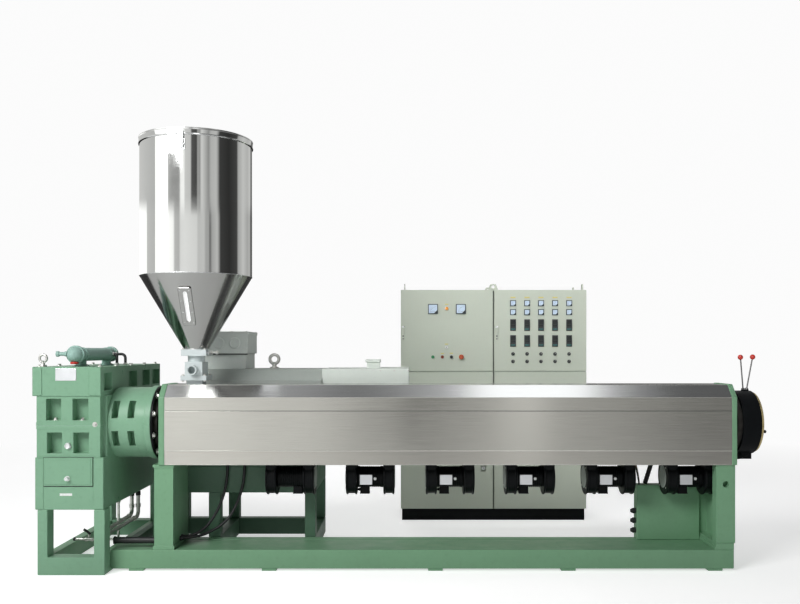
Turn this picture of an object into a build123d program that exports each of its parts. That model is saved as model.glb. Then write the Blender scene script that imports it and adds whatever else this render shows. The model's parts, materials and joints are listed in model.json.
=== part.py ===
import math
import os

from build123d import *

# Driving dimensions, millimetres. Datum: X from the middle of the guard's run,
# Y from the front face of the base, Z from the floor. DX and DY move the datum
# to the origin under the middle of the bounding box.
DX, DY = 29.0, -983.0
AXIS_Y, AXIS_Z = 200.0, 977.0          # screw axis
BASE_X0, BASE_X1 = -1980.5, 2172.0     # base frame
BASE_D, BEAM_W, BEAM_Z0, BEAM_Z1 = 395.0, 85.0, 15.0, 141.0
FEET_X = (-1812.0, -926.0, 183.0, 1069.0, 2048.0)
GUARD_X0, GUARD_X1 = -1621.0, 2155.0   # barrel guard
GUARD_Y0, GUARD_Y1, GUARD_Z0, GUARD_Z1 = -10.0, 410.0, 707.0, 1237.0
BEVEL, SHEET = 81.0, 4.0
SEAM_LOW, SEAM_HIGH = 802.0, 1066.0
BLOWER_X = (-803.0, -258.0, 287.0, 832.0, 1377.0, 1922.0)
BLOWER_Z, SCROLL_R, SCROLL_W, BMOTOR_R = 600.0, 122.0, 75.0, 73.0
BARREL_R, BORE_R, HEATER_R = 100.0, 60.0, 150.0
GB_X0, GB_X1, GB_Y0, GB_Y1 = -2429.0, -2011.0, -105.0, 1199.0   # gearbox waist
STAND_X0, STAND_X1, STAND_Z = -2421.0, -1981.0, 428.0
NECK_R = 240.0
HOPPER_X, HOPPER_R, HOPPER_T = -1458.0, 377.0, 5.0
HOPPER_Z0, HOPPER_Z1, CONE_Z0, CONE_R0 = 1975.0, 2905.0, 1475.0, 82.0
MOTOR_Y, MOTOR_X0, MOTOR_X1 = 772.0, -1600.0, -624.0
MOTOR_HALF, MOTOR_TOP, BED_Z = 300.0, 1332.0, 662.0
CAB_X0, CAB_X1, CAB_MID = -62.0, 1538.0, 738.0                  # cabinet
CAB_Y0, CAB_Y1, CAB_Z0, CAB_Z1 = 1666.0, 2165.0, 100.0, 1990.0
DOOR_T, DOOR_GAP, DOOR_SPLIT = 22.0, 5.0, 1287.0
CABLE_R = 10.0

os.makedirs("parts", exist_ok=True)


def box(x0, x1, y0, y1, z0, z1, mode=Mode.ADD):
    with Locations((DX + (x0 + x1) / 2, DY + (y0 + y1) / 2, (z0 + z1) / 2)):
        Box(x1 - x0, y1 - y0, z1 - z0, mode=mode)


def cyl_x(x0, x1, y, z, r, mode=Mode.ADD):
    with Locations(Location((DX + (x0 + x1) / 2, DY + y, z), (0, 90, 0))):
        Cylinder(r, x1 - x0, mode=mode)


def cyl_y(x, y0, y1, z, r, mode=Mode.ADD):
    with Locations(Location((DX + x, DY + (y0 + y1) / 2, z), (90, 0, 0))):
        Cylinder(r, y1 - y0, mode=mode)


def cyl_z(x, y, z0, z1, r, mode=Mode.ADD):
    with Locations((DX + x, DY + y, (z0 + z1) / 2)):
        Cylinder(r, z1 - z0, mode=mode)


def P(x, y, z):
    return Vector(DX + x, DY + y, z)


def save(node, label):
    node.part.label = label
    export_step(node.part, "parts/" + label + ".step")


# ---- base frame -----------------------------------------------------------
with BuildPart() as base_beams:
    box(BASE_X0, BASE_X1, 0, BEAM_W, BEAM_Z0, BEAM_Z1)
    box(BASE_X0, BASE_X1, BASE_D - BEAM_W, BASE_D, BEAM_Z0, BEAM_Z1)
save(base_beams, "base_beams")

with BuildPart() as base_cross_members:
    for x in (BASE_X0 + 42, -926.0, 183.0, 1069.0, BASE_X1 - 42):
        box(x - 42, x + 42, BEAM_W, BASE_D - BEAM_W, BEAM_Z0, BEAM_Z1)
    box(BASE_X0, BASE_X1, BEAM_W, BASE_D - BEAM_W, BEAM_Z1 - 9, BEAM_Z1 - 1)
save(base_cross_members, "base_cross_members")

with BuildPart() as levelling_feet:
    for x in FEET_X:
        box(x - 49, x + 49, 2, BEAM_W - 2, 0, BEAM_Z0)
        box(x - 49, x + 49, BASE_D - BEAM_W + 2, BASE_D - 2, 0, BEAM_Z0)
save(levelling_feet, "levelling_feet")

with BuildPart() as left_pedestal:
    box(-1700, -1558, 1, 394, 141, 165)
    box(-1692, -1566, 5, 390, 165, 690)
    box(-1702, -1560, 0, 395, 690, 707)
save(left_pedestal, "left_pedestal")

with BuildPart() as right_pedestal:
    box(2046, 2172, 0, 394, 141, 163)
    box(2052, 2172, 0, 394, 163, 187)
    box(2054, 2180, 0, 75, 187, 707)
    box(2104, 2180, 75, 330, 187, 707)
    box(2054, 2180, 330, 394, 187, 707)
    cyl_y(2118, -1, 45, 577, 21, Mode.SUBTRACT)
save(right_pedestal, "right_pedestal")

# ---- gearbox --------------------------------------------------------------
with BuildPart() as gearbox_stand_portals:
    for y0 in (-111.0, 1101.0):
        box(STAND_X0, STAND_X1, y0, y0 + 104, 0, STAND_Z)
        box(-2355, -2052, y0 - 1, y0 + 105, 117, STAND_Z + 1, Mode.SUBTRACT)
save(gearbox_stand_portals, "gearbox_stand_portals")

with BuildPart() as gearbox_stand_rails:
    box(STAND_X0, -2355, -7, 1101, 0, 117)
    box(-2052, STAND_X1, -7, 1101, 0, 117)
save(gearbox_stand_rails, "gearbox_stand_rails")

with BuildPart() as gearbox_lower_case:
    box(-2436, -1987, -111, 1205, STAND_Z, 769)
    box(GB_X0, GB_X1, GB_Y0, GB_Y1, 769, AXIS_Z)
    box(GB_X0 - 2, GB_X1 + 2, GB_Y0 - 2, GB_Y1 + 2, 955, AXIS_Z)
    box(GB_X1, -1987, -45, 445, 769, AXIS_Z)
    box(GB_X1, -1987, 640, 904, 769, AXIS_Z)
    for x0, x1 in ((-2359, -2263), (-2187, -2087)):
        box(x0, x1, -130, -35, 796, 931, Mode.SUBTRACT)
    for y0, y1 in ((480, 610), (980, 1120)):
        box(GB_X1 - 60, GB_X1 + 40, y0, y1, 796, 931, Mode.SUBTRACT)
        box(GB_X0 - 40, GB_X0 + 60, y0, y1, 796, 931, Mode.SUBTRACT)
save(gearbox_lower_case, "gearbox_lower_case")

with BuildPart() as gearbox_upper_case:
    box(GB_X0, GB_X1, GB_Y0, GB_Y1, AXIS_Z, 1171)
    box(GB_X0 - 2, GB_X1 + 2, GB_Y0 - 2, GB_Y1 + 2, AXIS_Z, 999)
    box(-2453, -2003, -113, 1207, 1171, 1362)
    box(GB_X1, -1987, -45, 445, AXIS_Z, 1171)
    box(GB_X1, -1987, 640, 904, AXIS_Z, 1171)
    for x0, x1 in ((-2366, -2268), (-2193, -2090)):
        box(x0, x1, -130, -35, 1012, 1153, Mode.SUBTRACT)
    for y0, y1 in ((-60, 88), (440, 622), (750, 932), (998, 1190)):
        box(-2003 - 45, -1990, y0, y1, 1205, 1320, Mode.SUBTRACT)
        box(-2460, -2453 + 45, y0, y1, 1205, 1320, Mode.SUBTRACT)
    for y0, y1 in ((480, 610), (980, 1120)):
        box(GB_X1 - 60, GB_X1 + 40, y0, y1, 1012, 1153, Mode.SUBTRACT)
        box(GB_X0 - 40, GB_X0 + 60, y0, y1, 1012, 1153, Mode.SUBTRACT)
save(gearbox_upper_case, "gearbox_upper_case")

with BuildPart() as gearbox_fittings:
    box(-2377, -2057, -123, -111, 585, 769)
    cyl_y(-2219, -150, -122, 634, 14)
    cyl_y(-2222, -123, GB_Y0, 845, 22)
    box(-2301, -2165, -117, -113, 1272, 1352)
save(gearbox_fittings, "gearbox_fittings")

with BuildPart() as lifting_eyes:
    for x, y, z, big in ((-2404, -60, 1362, 24), (-2404, 1140, 1362, 24), (-1011, MOTOR_Y, MOTOR_TOP, 34)):
        cyl_z(x, y, z, z + 12, big)
        cyl_z(x, y, z + 12, z + 0.7 * big + 14, big * 0.45)
        with Locations(Location((DX + x, DY + y, z + 1.55 * big + 18), (90, 0, 0))):
            Torus(big, big * 0.34)
save(lifting_eyes, "lifting_eyes")

with BuildPart() as oil_cooler:
    cyl_y(-2208, 0, 640, 1442, 46)
    cyl_y(-2208, -22, 0, 1442, 60)
    cyl_y(-2208, 640, 664, 1442, 56)
    cyl_y(-2208, 664, 694, 1442, 44)
    with Locations((DX - 2208, DY - 22, 1442)):
        Sphere(54)
    cyl_x(-2318, -2250, -38, 1446, 13)
    cyl_x(-2326, -2310, -38, 1446, 19)
    for y in (90.0, 560.0):
        box(-2248, -2168, y - 18, y + 18, 1362, 1420)
save(oil_cooler, "oil_cooler")

with BuildPart() as output_neck:
    cyl_x(-1987, -1706, AXIS_Y, AXIS_Z, NECK_R)
    cyl_x(-1746, -1706, AXIS_Y, AXIS_Z, 250)
    cyl_x(-1990, -1700, AXIS_Y, AXIS_Z, BORE_R, Mode.SUBTRACT)
    for x0, x1 in ((-1963, -1921), (-1857, -1815)):
        for z0, z1 in ((1020, 1133), (834, 935)):
            box(x0, x1, -60, 62, z0, z1, Mode.SUBTRACT)
            box(x0, x1, 338, 460, z0, z1, Mode.SUBTRACT)
save(output_neck, "output_neck")

with BuildPart() as input_coupling:
    cyl_x(-1987, -1900, MOTOR_Y, AXIS_Z, 112)
    cyl_x(-1900, -1640, MOTOR_Y, AXIS_Z, 42)
    cyl_x(-1855, -1775, MOTOR_Y, AXIS_Z, 112)
    cyl_x(-1767, -1690, MOTOR_Y, AXIS_Z, 112)
save(input_coupling, "input_coupling")

# pipes: two from the cooler to the case, two from under the case to the leg
runs = {
    "a": ((-2162, 620, 1442), (-2088, 620, 1442), (-2088, 620, 1362), 10, 30),
    "b": ((-2162, 560, 1442), (-2130, 560, 1442), (-2130, 560, 1362), 10, 24),
    "c": ((-2034, 600, STAND_Z), (-2034, 600, 262), (-2034, -7, 262), 14, 40),
    "d": ((-1997, 630, STAND_Z), (-1997, 630, 246), (-1997, -7, 246), 14, 40),
}
with BuildPart() as oil_pipes:
    for key, (p0, p1, p2, r, bend) in runs.items():
        with BuildLine() as route:
            FilletPolyline(P(*p0), P(*p1), P(*p2), radius=bend)
        with BuildSketch(Plane(origin=route.line @ 0, z_dir=route.line % 0)):
            Circle(r)
        sweep(path=route.line)
    for x, y in ((-2034, 600), (-1997, 630)):
        cyl_z(x, y, 312, 336, 18)
save(oil_pipes, "oil_pipes")

# ---- motor ----------------------------------------------------------------
with BuildPart() as motor_frame_long:
    box(-1979, -660, 1070, 1150, BEAM_Z0, BEAM_Z1)
    box(-1819, -660, 395, 455, 456, 640)
    box(-1819, -660, 1090, 1150, 456, 640)
save(motor_frame_long, "motor_frame_long")

with BuildPart() as motor_frame_cross:
    box(-1979, -1924, 395, 1070, BEAM_Z0, BEAM_Z1)
    box(-1420, -1336, 395, 1070, BEAM_Z0, BEAM_Z1)
    box(-735, -660, 395, 1070, BEAM_Z0, BEAM_Z1)
    box(-1420, -1360, 455, 1090, 456, 640)
    box(-1819, -1735, 395, 1070, BEAM_Z0, BEAM_Z1)
    box(-1819, -1759, 455, 1090, 456, 640)
    box(-720, -660, 455, 1090, 456, 640)
save(motor_frame_cross, "motor_frame_cross")

with BuildPart() as motor_frame_posts:
    for x0, x1 in ((-1819, -1735), (-1420, -1336), (-735, -660)):
        for y0, y1 in ((395, 475), (1070, 1150)):
            box(x0, x1, y0, y1, BEAM_Z1, 456)
save(motor_frame_posts, "motor_frame_posts")

with BuildPart() as motor_bed:
    box(-1705, -640, 395, 1155, 640, BED_Z)
save(motor_bed, "motor_bed")

with BuildPart() as main_motor:
    with BuildSketch(Plane(origin=(DX + MOTOR_X0, DY + MOTOR_Y, AXIS_Z), x_dir=(0, 1, 0), z_dir=(1, 0, 0))):
        h, t, b = MOTOR_HALF, MOTOR_TOP - AXIS_Z, -290
        Polygon(
            (-h, b + 80), (-h + 80, b), (h - 80, b), (h, b + 80),
            (h, t - 78), (h - 85, t), (-h + 85, t), (-h, t - 78), align=None,
        )
    extrude(amount=MOTOR_X1 - MOTOR_X0)
    cyl_x(-1640, MOTOR_X0, MOTOR_Y, AXIS_Z, 235)
    for y in (MOTOR_Y - 235, MOTOR_Y + 235):
        box(-1520, -1380, y - 75, y + 75, BED_Z, 720)
        box(-860, -720, y - 75, y + 75, BED_Z, 720)
save(main_motor, "main_motor")

with BuildPart() as motor_terminal_box:
    box(-1580, -1190, 602, 942, MOTOR_TOP, 1445)
    box(-1599, -1177, 582, 962, 1445, 1585)
    box(-1603, -1173, 578, 966, 1585, 1608)
    for x in (-1509, -1391, -1273):
        cyl_y(x, 572, 582, 1523, 40)
        cyl_y(x, 571, 576, 1523, 29, Mode.SUBTRACT)
save(motor_terminal_box, "motor_terminal_box")

with BuildPart() as motor_cooling_box:
    box(MOTOR_X1, -205, 500, 1040, 700, 1335)
    box(-205, 7, 490, 1050, 690, 1338)
    box(-308, -212, 700, 800, 1335, 1380)
    box(-318, -206, 690, 810, 1380, 1402)
save(motor_cooling_box, "motor_cooling_box")

# ---- barrel ---------------------------------------------------------------
with BuildPart() as barrel:
    cyl_x(-1706, 2232, AXIS_Y, AXIS_Z, BARREL_R)
    cyl_x(-1706, -1672, AXIS_Y, AXIS_Z, 205)
    cyl_x(2200, 2232, AXIS_Y, AXIS_Z, 200)
    box(-1590, -1320, 80, 320, 850, 1110)
    cyl_x(-1710, 2240, AXIS_Y, AXIS_Z, BORE_R, Mode.SUBTRACT)
    box(HOPPER_X - 40, HOPPER_X + 40, 160, 240, AXIS_Z, 1111, Mode.SUBTRACT)
save(barrel, "barrel")

with BuildPart() as heater_jackets:
    for x in BLOWER_X:
        cyl_x(x - 215, x + 215, AXIS_Y, AXIS_Z, HEATER_R)
    cyl_x(-1710, 2240, AXIS_Y, AXIS_Z, BARREL_R, Mode.SUBTRACT)
save(heater_jackets, "heater_jackets")

with BuildPart() as guard_top:
    box(GUARD_X0, GUARD_X1, GUARD_Y0 + BEVEL, GUARD_Y1 - BEVEL, GUARD_Z1 - SHEET, GUARD_Z1)
    box(HOPPER_X - 59, HOPPER_X + 59, 141, 259, GUARD_Z1 - 10, GUARD_Z1 + 10, Mode.SUBTRACT)
save(guard_top, "guard_top")

k = SHEET * math.tan(math.radians(22.5))
zb = GUARD_Z1 - BEVEL
side = [
    (GUARD_Y0, SEAM_HIGH), (GUARD_Y0, zb), (GUARD_Y0 + BEVEL, GUARD_Z1),
    (GUARD_Y0 + BEVEL, GUARD_Z1 - SHEET * math.sqrt(2)),
    (GUARD_Y0 + SHEET, zb - k), (GUARD_Y0 + SHEET, SEAM_HIGH),
]
with BuildPart() as guard_upper_panels:
    with BuildSketch(Plane(origin=(DX + GUARD_X0, DY, 0), x_dir=(0, 1, 0), z_dir=(1, 0, 0))):
        Polygon(*side, align=None)
        Polygon(*[(2 * AXIS_Y - y, z) for y, z in reversed(side)], align=None)
    extrude(amount=GUARD_X1 - GUARD_X0)
save(guard_upper_panels, "guard_upper_panels")

with BuildPart() as guard_middle_panels:
    box(GUARD_X0, GUARD_X1, GUARD_Y0 - 3, GUARD_Y0 + 1, SEAM_LOW + 1, SEAM_HIGH - 1)
    box(GUARD_X0, GUARD_X1, GUARD_Y1 - 1, GUARD_Y1 + 3, SEAM_LOW + 1, SEAM_HIGH - 1)
save(guard_middle_panels, "guard_middle_panels")

with BuildPart() as guard_lower_panels:
    box(GUARD_X0, GUARD_X1, GUARD_Y0, GUARD_Y0 + SHEET, GUARD_Z0, SEAM_LOW)
    box(GUARD_X0, GUARD_X1, GUARD_Y0, GUARD_Y0 + 30, GUARD_Z0, GUARD_Z0 + SHEET)
    box(GUARD_X0, GUARD_X1, GUARD_Y1 - SHEET, GUARD_Y1, GUARD_Z0, SEAM_LOW)
    box(GUARD_X0, GUARD_X1, GUARD_Y1 - 48, GUARD_Y1, GUARD_Z0, GUARD_Z0 + SHEET)
save(guard_lower_panels, "guard_lower_panels")

e = 5.0
plate = [
    (GUARD_Y0 - e, GUARD_Z0), (GUARD_Y0 - e, zb + 2), (GUARD_Y0 + BEVEL - 2, GUARD_Z1 + e),
    (GUARD_Y1 - BEVEL + 2, GUARD_Z1 + e), (GUARD_Y1 + e, zb + 2), (GUARD_Y1 + e, GUARD_Z0),
]
with BuildPart() as guard_end_plates:
    for x0, x1 in ((GUARD_X0 - 38, GUARD_X0), (GUARD_X1, GUARD_X1 + 33)):
        with BuildSketch(Plane(origin=(DX + x0, DY, 0), x_dir=(0, 1, 0), z_dir=(1, 0, 0))):
            Polygon(*plate, align=None)
            with Locations((AXIS_Y, AXIS_Z)):
                Circle(BARREL_R, mode=Mode.SUBTRACT)
        extrude(amount=x1 - x0)
save(guard_end_plates, "guard_end_plates")

# ---- blowers --------------------------------------------------------------
with BuildPart() as blower_housings:
    for x in BLOWER_X:
        for x0 in (x - 165, x + 90):
            cyl_x(x0, x0 + SCROLL_W, AXIS_Y, BLOWER_Z, SCROLL_R)
            box(x0, x0 + SCROLL_W, 100, 222, BLOWER_Z, 870)
    cyl_x(-1710, 2240, AXIS_Y, AXIS_Z, HEATER_R, Mode.SUBTRACT)
save(blower_housings, "blower_housings")

with BuildPart() as blower_motors:
    for i, x in enumerate(BLOWER_X):
        cyl_x(x - 90, x + 90, AXIS_Y, BLOWER_Z, BMOTOR_R)
        xo = x + 16 if i == 0 else x - 70
        box(xo, xo + 64, 168, 232, 486, 550)
save(blower_motors, "blower_motors")

# ---- wiring ---------------------------------------------------------------
with BuildPart() as junction_box:
    box(1608, 2045, 304, 394, BEAM_Z1, 525)
save(junction_box, "junction_box")

with BuildPart() as conduit_fittings:
    for z in (337, 269, 200):
        cyl_x(1587, 1608, 349, z, 20)
        cyl_x(1573, 1587, 349, z, 15)
    with BuildSketch(Plane(origin=P(1674, 376, 500), z_dir=(58, 0, 182))):
        Circle(17)
    extrude(amount=245)
    box(1620, 1800, 340, 420, 480, 525, Mode.SUBTRACT)
    box(1620, 1800, 340, 420, GUARD_Z0 - 0.5, 780, Mode.SUBTRACT)
    cyl_x(-1981, -1702, 70, 190, 22)
save(conduit_fittings, "conduit_fittings")

cables = {
    "cable_a": ((-1280, 380, 706.5), (-1280.5, 379.5, 560), (-1318, 358, 395), (-1390, 300, 250), (-1480, 222, 184), (-1564.8, 215, 182)),
    "cable_b": ((-1159, 380, 706.5), (-1159.5, 379.5, 560), (-1204, 366, 394), (-1276, 330, 262), (-1400, 268, 190), (-1490, 186, 182), (-1564.8, 176, 180)),
}
routes = {}
for name, pts in cables.items():
    pts = [P(*p) for p in pts]
    dense = [pts[0]]
    for p, q in zip(pts, pts[1:]):
        n = 1 if (q - p).length <= 149 else 2
        dense += [p + (q - p) * (j / n) for j in range(1, n + 1)]
    routes[name] = dense
tubes = {}
for name, pts in routes.items():
    segs, prev, parts = [], pts[0], []
    for i in range(1, len(pts) - 1):
        u, v = (pts[i] - pts[i - 1]), (pts[i + 1] - pts[i])
        turn = math.radians(u.get_angle(v))
        if turn < 1e-4:
            continue
        cut = 0.45 * min(u.length, v.length)
        a, b = pts[i] - u.normalized() * cut, pts[i] + v.normalized() * cut
        segs.append(Line(prev, a))
        segs.append(TangentArc(a, b, tangent=u.normalized()))
        parts.append(cut / math.tan(turn / 2))
        prev = b
    segs.append(Line(prev, pts[-1]))
    tubes[name] = Wire(segs)
    print(name, "bend radii", [round(r) for r in parts])

with BuildPart() as cable_a:
    with BuildSketch(Plane(origin=tubes["cable_a"] @ 0, z_dir=tubes["cable_a"] % 0)):
        Circle(CABLE_R)
    sweep(path=tubes["cable_a"])
save(cable_a, "cable_a")

with BuildPart() as cable_b:
    with BuildSketch(Plane(origin=tubes["cable_b"] @ 0, z_dir=tubes["cable_b"] % 0)):
        Circle(CABLE_R)
    sweep(path=tubes["cable_b"])
save(cable_b, "cable_b")

# ---- die end --------------------------------------------------------------
with BuildPart() as die_clamp_ring:
    cyl_x(2232, 2354, AXIS_Y, AXIS_Z, 216)
    box(2240, 2340, 130, 270, 730, 830)
    cyl_x(2225, 2360, AXIS_Y, AXIS_Z, BORE_R, Mode.SUBTRACT)
    for x in (2310, 2334):
        cyl_z(x, AXIS_Y, 1180, 1200, 14)
save(die_clamp_ring, "die_clamp_ring")

with BuildPart() as die_adapter:
    cyl_x(2354, 2371, AXIS_Y, AXIS_Z, 206)
    cyl_x(2350, 2380, AXIS_Y, AXIS_Z, 45, Mode.SUBTRACT)
    for i in range(8):
        a = math.radians(22.5 + 45 * i)
        cyl_x(2350, 2380, AXIS_Y + 160 * math.cos(a), AXIS_Z + 160 * math.sin(a), 9, Mode.SUBTRACT)
    cyl_x(2371, 2380, 20, 927, 5)
    with Locations((DX + 2384, DY + 20, 927)):
        Sphere(11)
save(die_adapter, "die_adapter")

with BuildPart() as clamp_levers:
    for x0, x1, z1 in ((2310, 2292, 1422), (2334, 2376, 1424)):
        p, q = P(x0, AXIS_Y, 1200), P(x1, AXIS_Y, z1)
        with BuildSketch(Plane(origin=p, z_dir=q - p)):
            Circle(6)
        extrude(amount=(q - p).length)
        with Locations(q):
            Sphere(18)
    box(2200, 2400, 100, 300, 1150, 1200, Mode.SUBTRACT)
save(clamp_levers, "clamp_levers")

# ---- hopper ---------------------------------------------------------------
with BuildPart() as hopper_shell:
    cyl_z(HOPPER_X, AXIS_Y, HOPPER_Z0, HOPPER_Z1, HOPPER_R)
    cyl_z(HOPPER_X, AXIS_Y, HOPPER_Z0 - 1, HOPPER_Z1 + 1, HOPPER_R - HOPPER_T, Mode.SUBTRACT)
save(hopper_shell, "hopper_shell")

with BuildPart() as hopper_cone:
    with BuildSketch(Plane(origin=(DX + HOPPER_X, DY + AXIS_Y, 0), x_dir=(1, 0, 0), z_dir=(0, -1, 0))):
        Polygon(
            (CONE_R0 - 6, CONE_Z0), (CONE_R0, CONE_Z0), (HOPPER_R, HOPPER_Z0), (HOPPER_R - 6, HOPPER_Z0), align=None,
        )
    revolve(axis=Axis((DX + HOPPER_X, DY + AXIS_Y, 0), (0, 0, 1)))
save(hopper_cone, "hopper_cone")

LID_Y, LID_Z = 606.0, 2862.0           # lid hinge pin, behind the hopper
with BuildPart() as hopper_lid:
    cyl_z(HOPPER_X, AXIS_Y, 2865, 2913, 385)
    box(HOPPER_X - 26, HOPPER_X + 26, 578, LID_Y, 2868, 2892)
    box(HOPPER_X - 26, HOPPER_X + 26, LID_Y - 9, LID_Y + 9, LID_Z, 2892)
    cyl_x(HOPPER_X - 26, HOPPER_X + 26, LID_Y, LID_Z, 9)
    cyl_z(HOPPER_X, AXIS_Y, 2864, HOPPER_Z1 + 0.4, 380, Mode.SUBTRACT)
    cyl_x(HOPPER_X - 30, HOPPER_X + 30, LID_Y, LID_Z, 5, Mode.SUBTRACT)
save(hopper_lid, "hopper_lid")

slope = math.atan2(HOPPER_R - CONE_R0, HOPPER_Z0 - CONE_Z0)
zm = 1762.0
rm = CONE_R0 + (zm - CONE_Z0) * math.tan(slope)
normal = Vector(0, -math.cos(slope), -math.sin(slope))
with BuildPart() as hopper_fittings:
    with BuildSketch(Plane(origin=P(HOPPER_X, AXIS_Y - rm, zm) + normal * 0.3, x_dir=(1, 0, 0), z_dir=normal)):
        RectangleRounded(86, 284, 12)
        SlotOverall(226, 30, rotation=90, mode=Mode.SUBTRACT)
    extrude(amount=12)
    box(HOPPER_X - 14, HOPPER_X + 14, -199, -185, 2766, 2890)
    box(HOPPER_X - 20, HOPPER_X + 20, -190, -177.5, 2762, 2840)
    for x in (HOPPER_X - 53, HOPPER_X + 27.5):
        box(x, x + 25.5, 566, LID_Y - 6, 2826, 2858)
        box(x, x + 25.5, 592, LID_Y + 6, 2834, LID_Z)
        cyl_x(x, x + 25.5, LID_Y, LID_Z, 9)
    cyl_x(HOPPER_X - 53, HOPPER_X + 53, LID_Y, LID_Z, 4)
    cyl_z(HOPPER_X, AXIS_Y, 2700, 2862, HOPPER_R + 0.2, Mode.SUBTRACT)
    cyl_z(HOPPER_X, AXIS_Y, 2862, 2920, 385.8, Mode.SUBTRACT)
save(hopper_fittings, "hopper_fittings")

with BuildPart() as feed_throat:
    box(HOPPER_X - 86, HOPPER_X + 86, 114, 286, 1463, CONE_Z0)
    box(HOPPER_X - 86, HOPPER_X + 86, 114, 286, 1432, 1444)
    box(HOPPER_X - 86, HOPPER_X + 86, 114, 130, 1444, 1463)
    box(HOPPER_X - 86, HOPPER_X + 86, 270, 286, 1444, 1463)
    cyl_z(HOPPER_X, AXIS_Y, 1388, 1432, 58)
    box(HOPPER_X - 60, HOPPER_X + 60, 116, 284, 1297, 1390)
    cyl_y(HOPPER_X - 2, 66, 120, 1336, 34)
    box(HOPPER_X - 88, HOPPER_X + 88, 112, 288, 1265, 1297)
    box(HOPPER_X - 53, HOPPER_X + 53, 147, 253, 1110, 1265)
    cyl_y(HOPPER_X - 2, 60, 140, 1336, 25, Mode.SUBTRACT)
    cyl_z(HOPPER_X, AXIS_Y, 1100, 1480, 40, Mode.SUBTRACT)
save(feed_throat, "feed_throat")

with BuildPart() as slide_gate:
    box(HOPPER_X - 62, HOPPER_X + 100, 136, 264, 1449.5, 1457.5)
    box(HOPPER_X + 92, HOPPER_X + 100, 136, 264, 1438, 1470)
    cyl_x(HOPPER_X + 100, HOPPER_X + 134, AXIS_Y, 1455, 7)
    with Locations((DX + HOPPER_X + 138, DY + AXIS_Y, 1455)):
        Sphere(14)
save(slide_gate, "slide_gate")

# ---- control cabinet ------------------------------------------------------
body_y = CAB_Y0 + DOOR_T + DOOR_GAP
with BuildPart() as cabinet_plinth:
    box(CAB_X0 + 10, CAB_X1 - 10, body_y + 6, CAB_Y1 - 10, 0, CAB_Z0)
save(cabinet_plinth, "cabinet_plinth")

with BuildPart() as cabinet_sides:
    for x in (CAB_X0, CAB_MID - 10, CAB_X1 - 20):
        box(x, x + 20, body_y, CAB_Y1, CAB_Z0, CAB_Z1 - 20)
save(cabinet_sides, "cabinet_sides")

with BuildPart() as cabinet_roof:
    box(CAB_X0, CAB_X1, body_y, CAB_Y1, CAB_Z1 - 20, CAB_Z1)
    for x in (CAB_X0 + 30, CAB_MID, CAB_X1 - 30):
        for y in (body_y + 30, CAB_Y1 - 38):
            side = x == CAB_MID
            with BuildSketch(Plane(
                origin=(DX + x, DY + y, CAB_Z1),
                x_dir=(1, 0, 0) if side else (0, 1, 0),
                z_dir=(0, -1, 0) if side else (1, 0, 0),
            )):
                Polygon((-30 if not side else -46, 0), (30 if not side else 46, 0), (24, 54), (-24, 54), align=None)
                with Locations((0, 30)):
                    Circle(13, mode=Mode.SUBTRACT)
            extrude(amount=8)
save(cabinet_roof, "cabinet_roof")

bays = ((CAB_X0 + 20, CAB_MID - 10), (CAB_MID + 10, CAB_X1 - 20))
with BuildPart() as cabinet_cross_panels:
    for x0, x1 in bays:
        box(x0, x1, body_y, CAB_Y1 - 15, CAB_Z0, CAB_Z0 + 15)
        box(x0, x1, body_y, body_y + 40, DOOR_SPLIT - 18, DOOR_SPLIT + 18)
save(cabinet_cross_panels, "cabinet_cross_panels")

with BuildPart() as cabinet_back:
    for x0, x1 in bays:
        box(x0, x1, CAB_Y1 - 15, CAB_Y1, CAB_Z0, CAB_Z1 - 20)
save(cabinet_back, "cabinet_back")

doors_x = ((CAB_X0, CAB_MID - 6), (CAB_MID + 6, CAB_X1))
with BuildPart() as door_upper_left:
    box(doors_x[0][0], doors_x[0][1], CAB_Y0, CAB_Y0 + DOOR_T, DOOR_SPLIT + 4, CAB_Z1)
    box(doors_x[0][0] + 8, doors_x[0][0] + 32, CAB_Y0 - 12, CAB_Y0, 1558, 1679)
save(door_upper_left, "door_upper_left")

with BuildPart() as door_upper_right:
    box(doors_x[1][0], doors_x[1][1], CAB_Y0, CAB_Y0 + DOOR_T, DOOR_SPLIT + 4, CAB_Z1)
    box(doors_x[1][0] + 8, doors_x[1][0] + 32, CAB_Y0 - 12, CAB_Y0, 1558, 1679)
save(door_upper_right, "door_upper_right")

with BuildPart() as door_lower_left:
    box(doors_x[0][0], doors_x[0][1], CAB_Y0, CAB_Y0 + DOOR_T, CAB_Z0 + 4, DOOR_SPLIT - 4)
    box(629, 671, CAB_Y0 - 10, CAB_Y0, 429, 481)
save(door_lower_left, "door_lower_left")

with BuildPart() as door_lower_right:
    box(doors_x[1][0], doors_x[1][1], CAB_Y0, CAB_Y0 + DOOR_T, CAB_Z0 + 4, DOOR_SPLIT - 4)
save(door_lower_right, "door_lower_right")

with BuildPart() as left_door_meters:
    for x in (215, 455):
        box(x - 43, x + 43, CAB_Y0 - 14, CAB_Y0, 1825 - 43, 1825 + 43)
save(left_door_meters, "left_door_meters")

with BuildPart() as left_door_buttons:
    for x, z, r, out in ((334, 1829, 17, 22), (332, 1495, 13, 16), (214, 1412, 14, 18), (296, 1412, 14, 18), (374, 1412, 14, 26), (458, 1412, 21, 34)):
        cyl_y(x, CAB_Y0 - out, CAB_Y0, z, r)
save(left_door_buttons, "left_door_buttons")

columns = (905, 1026, 1146, 1267, 1388)
with BuildPart() as right_door_instruments:
    for x in columns:
        for z in (1875, 1798):
            box(x - 26, x + 26, CAB_Y0 - 10, CAB_Y0, z - 26, z + 26)
        for z in (1687, 1550):
            box(x - 25, x + 25, CAB_Y0 - 12, CAB_Y0, z - 50, z + 50)
save(right_door_instruments, "right_door_instruments")

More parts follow.
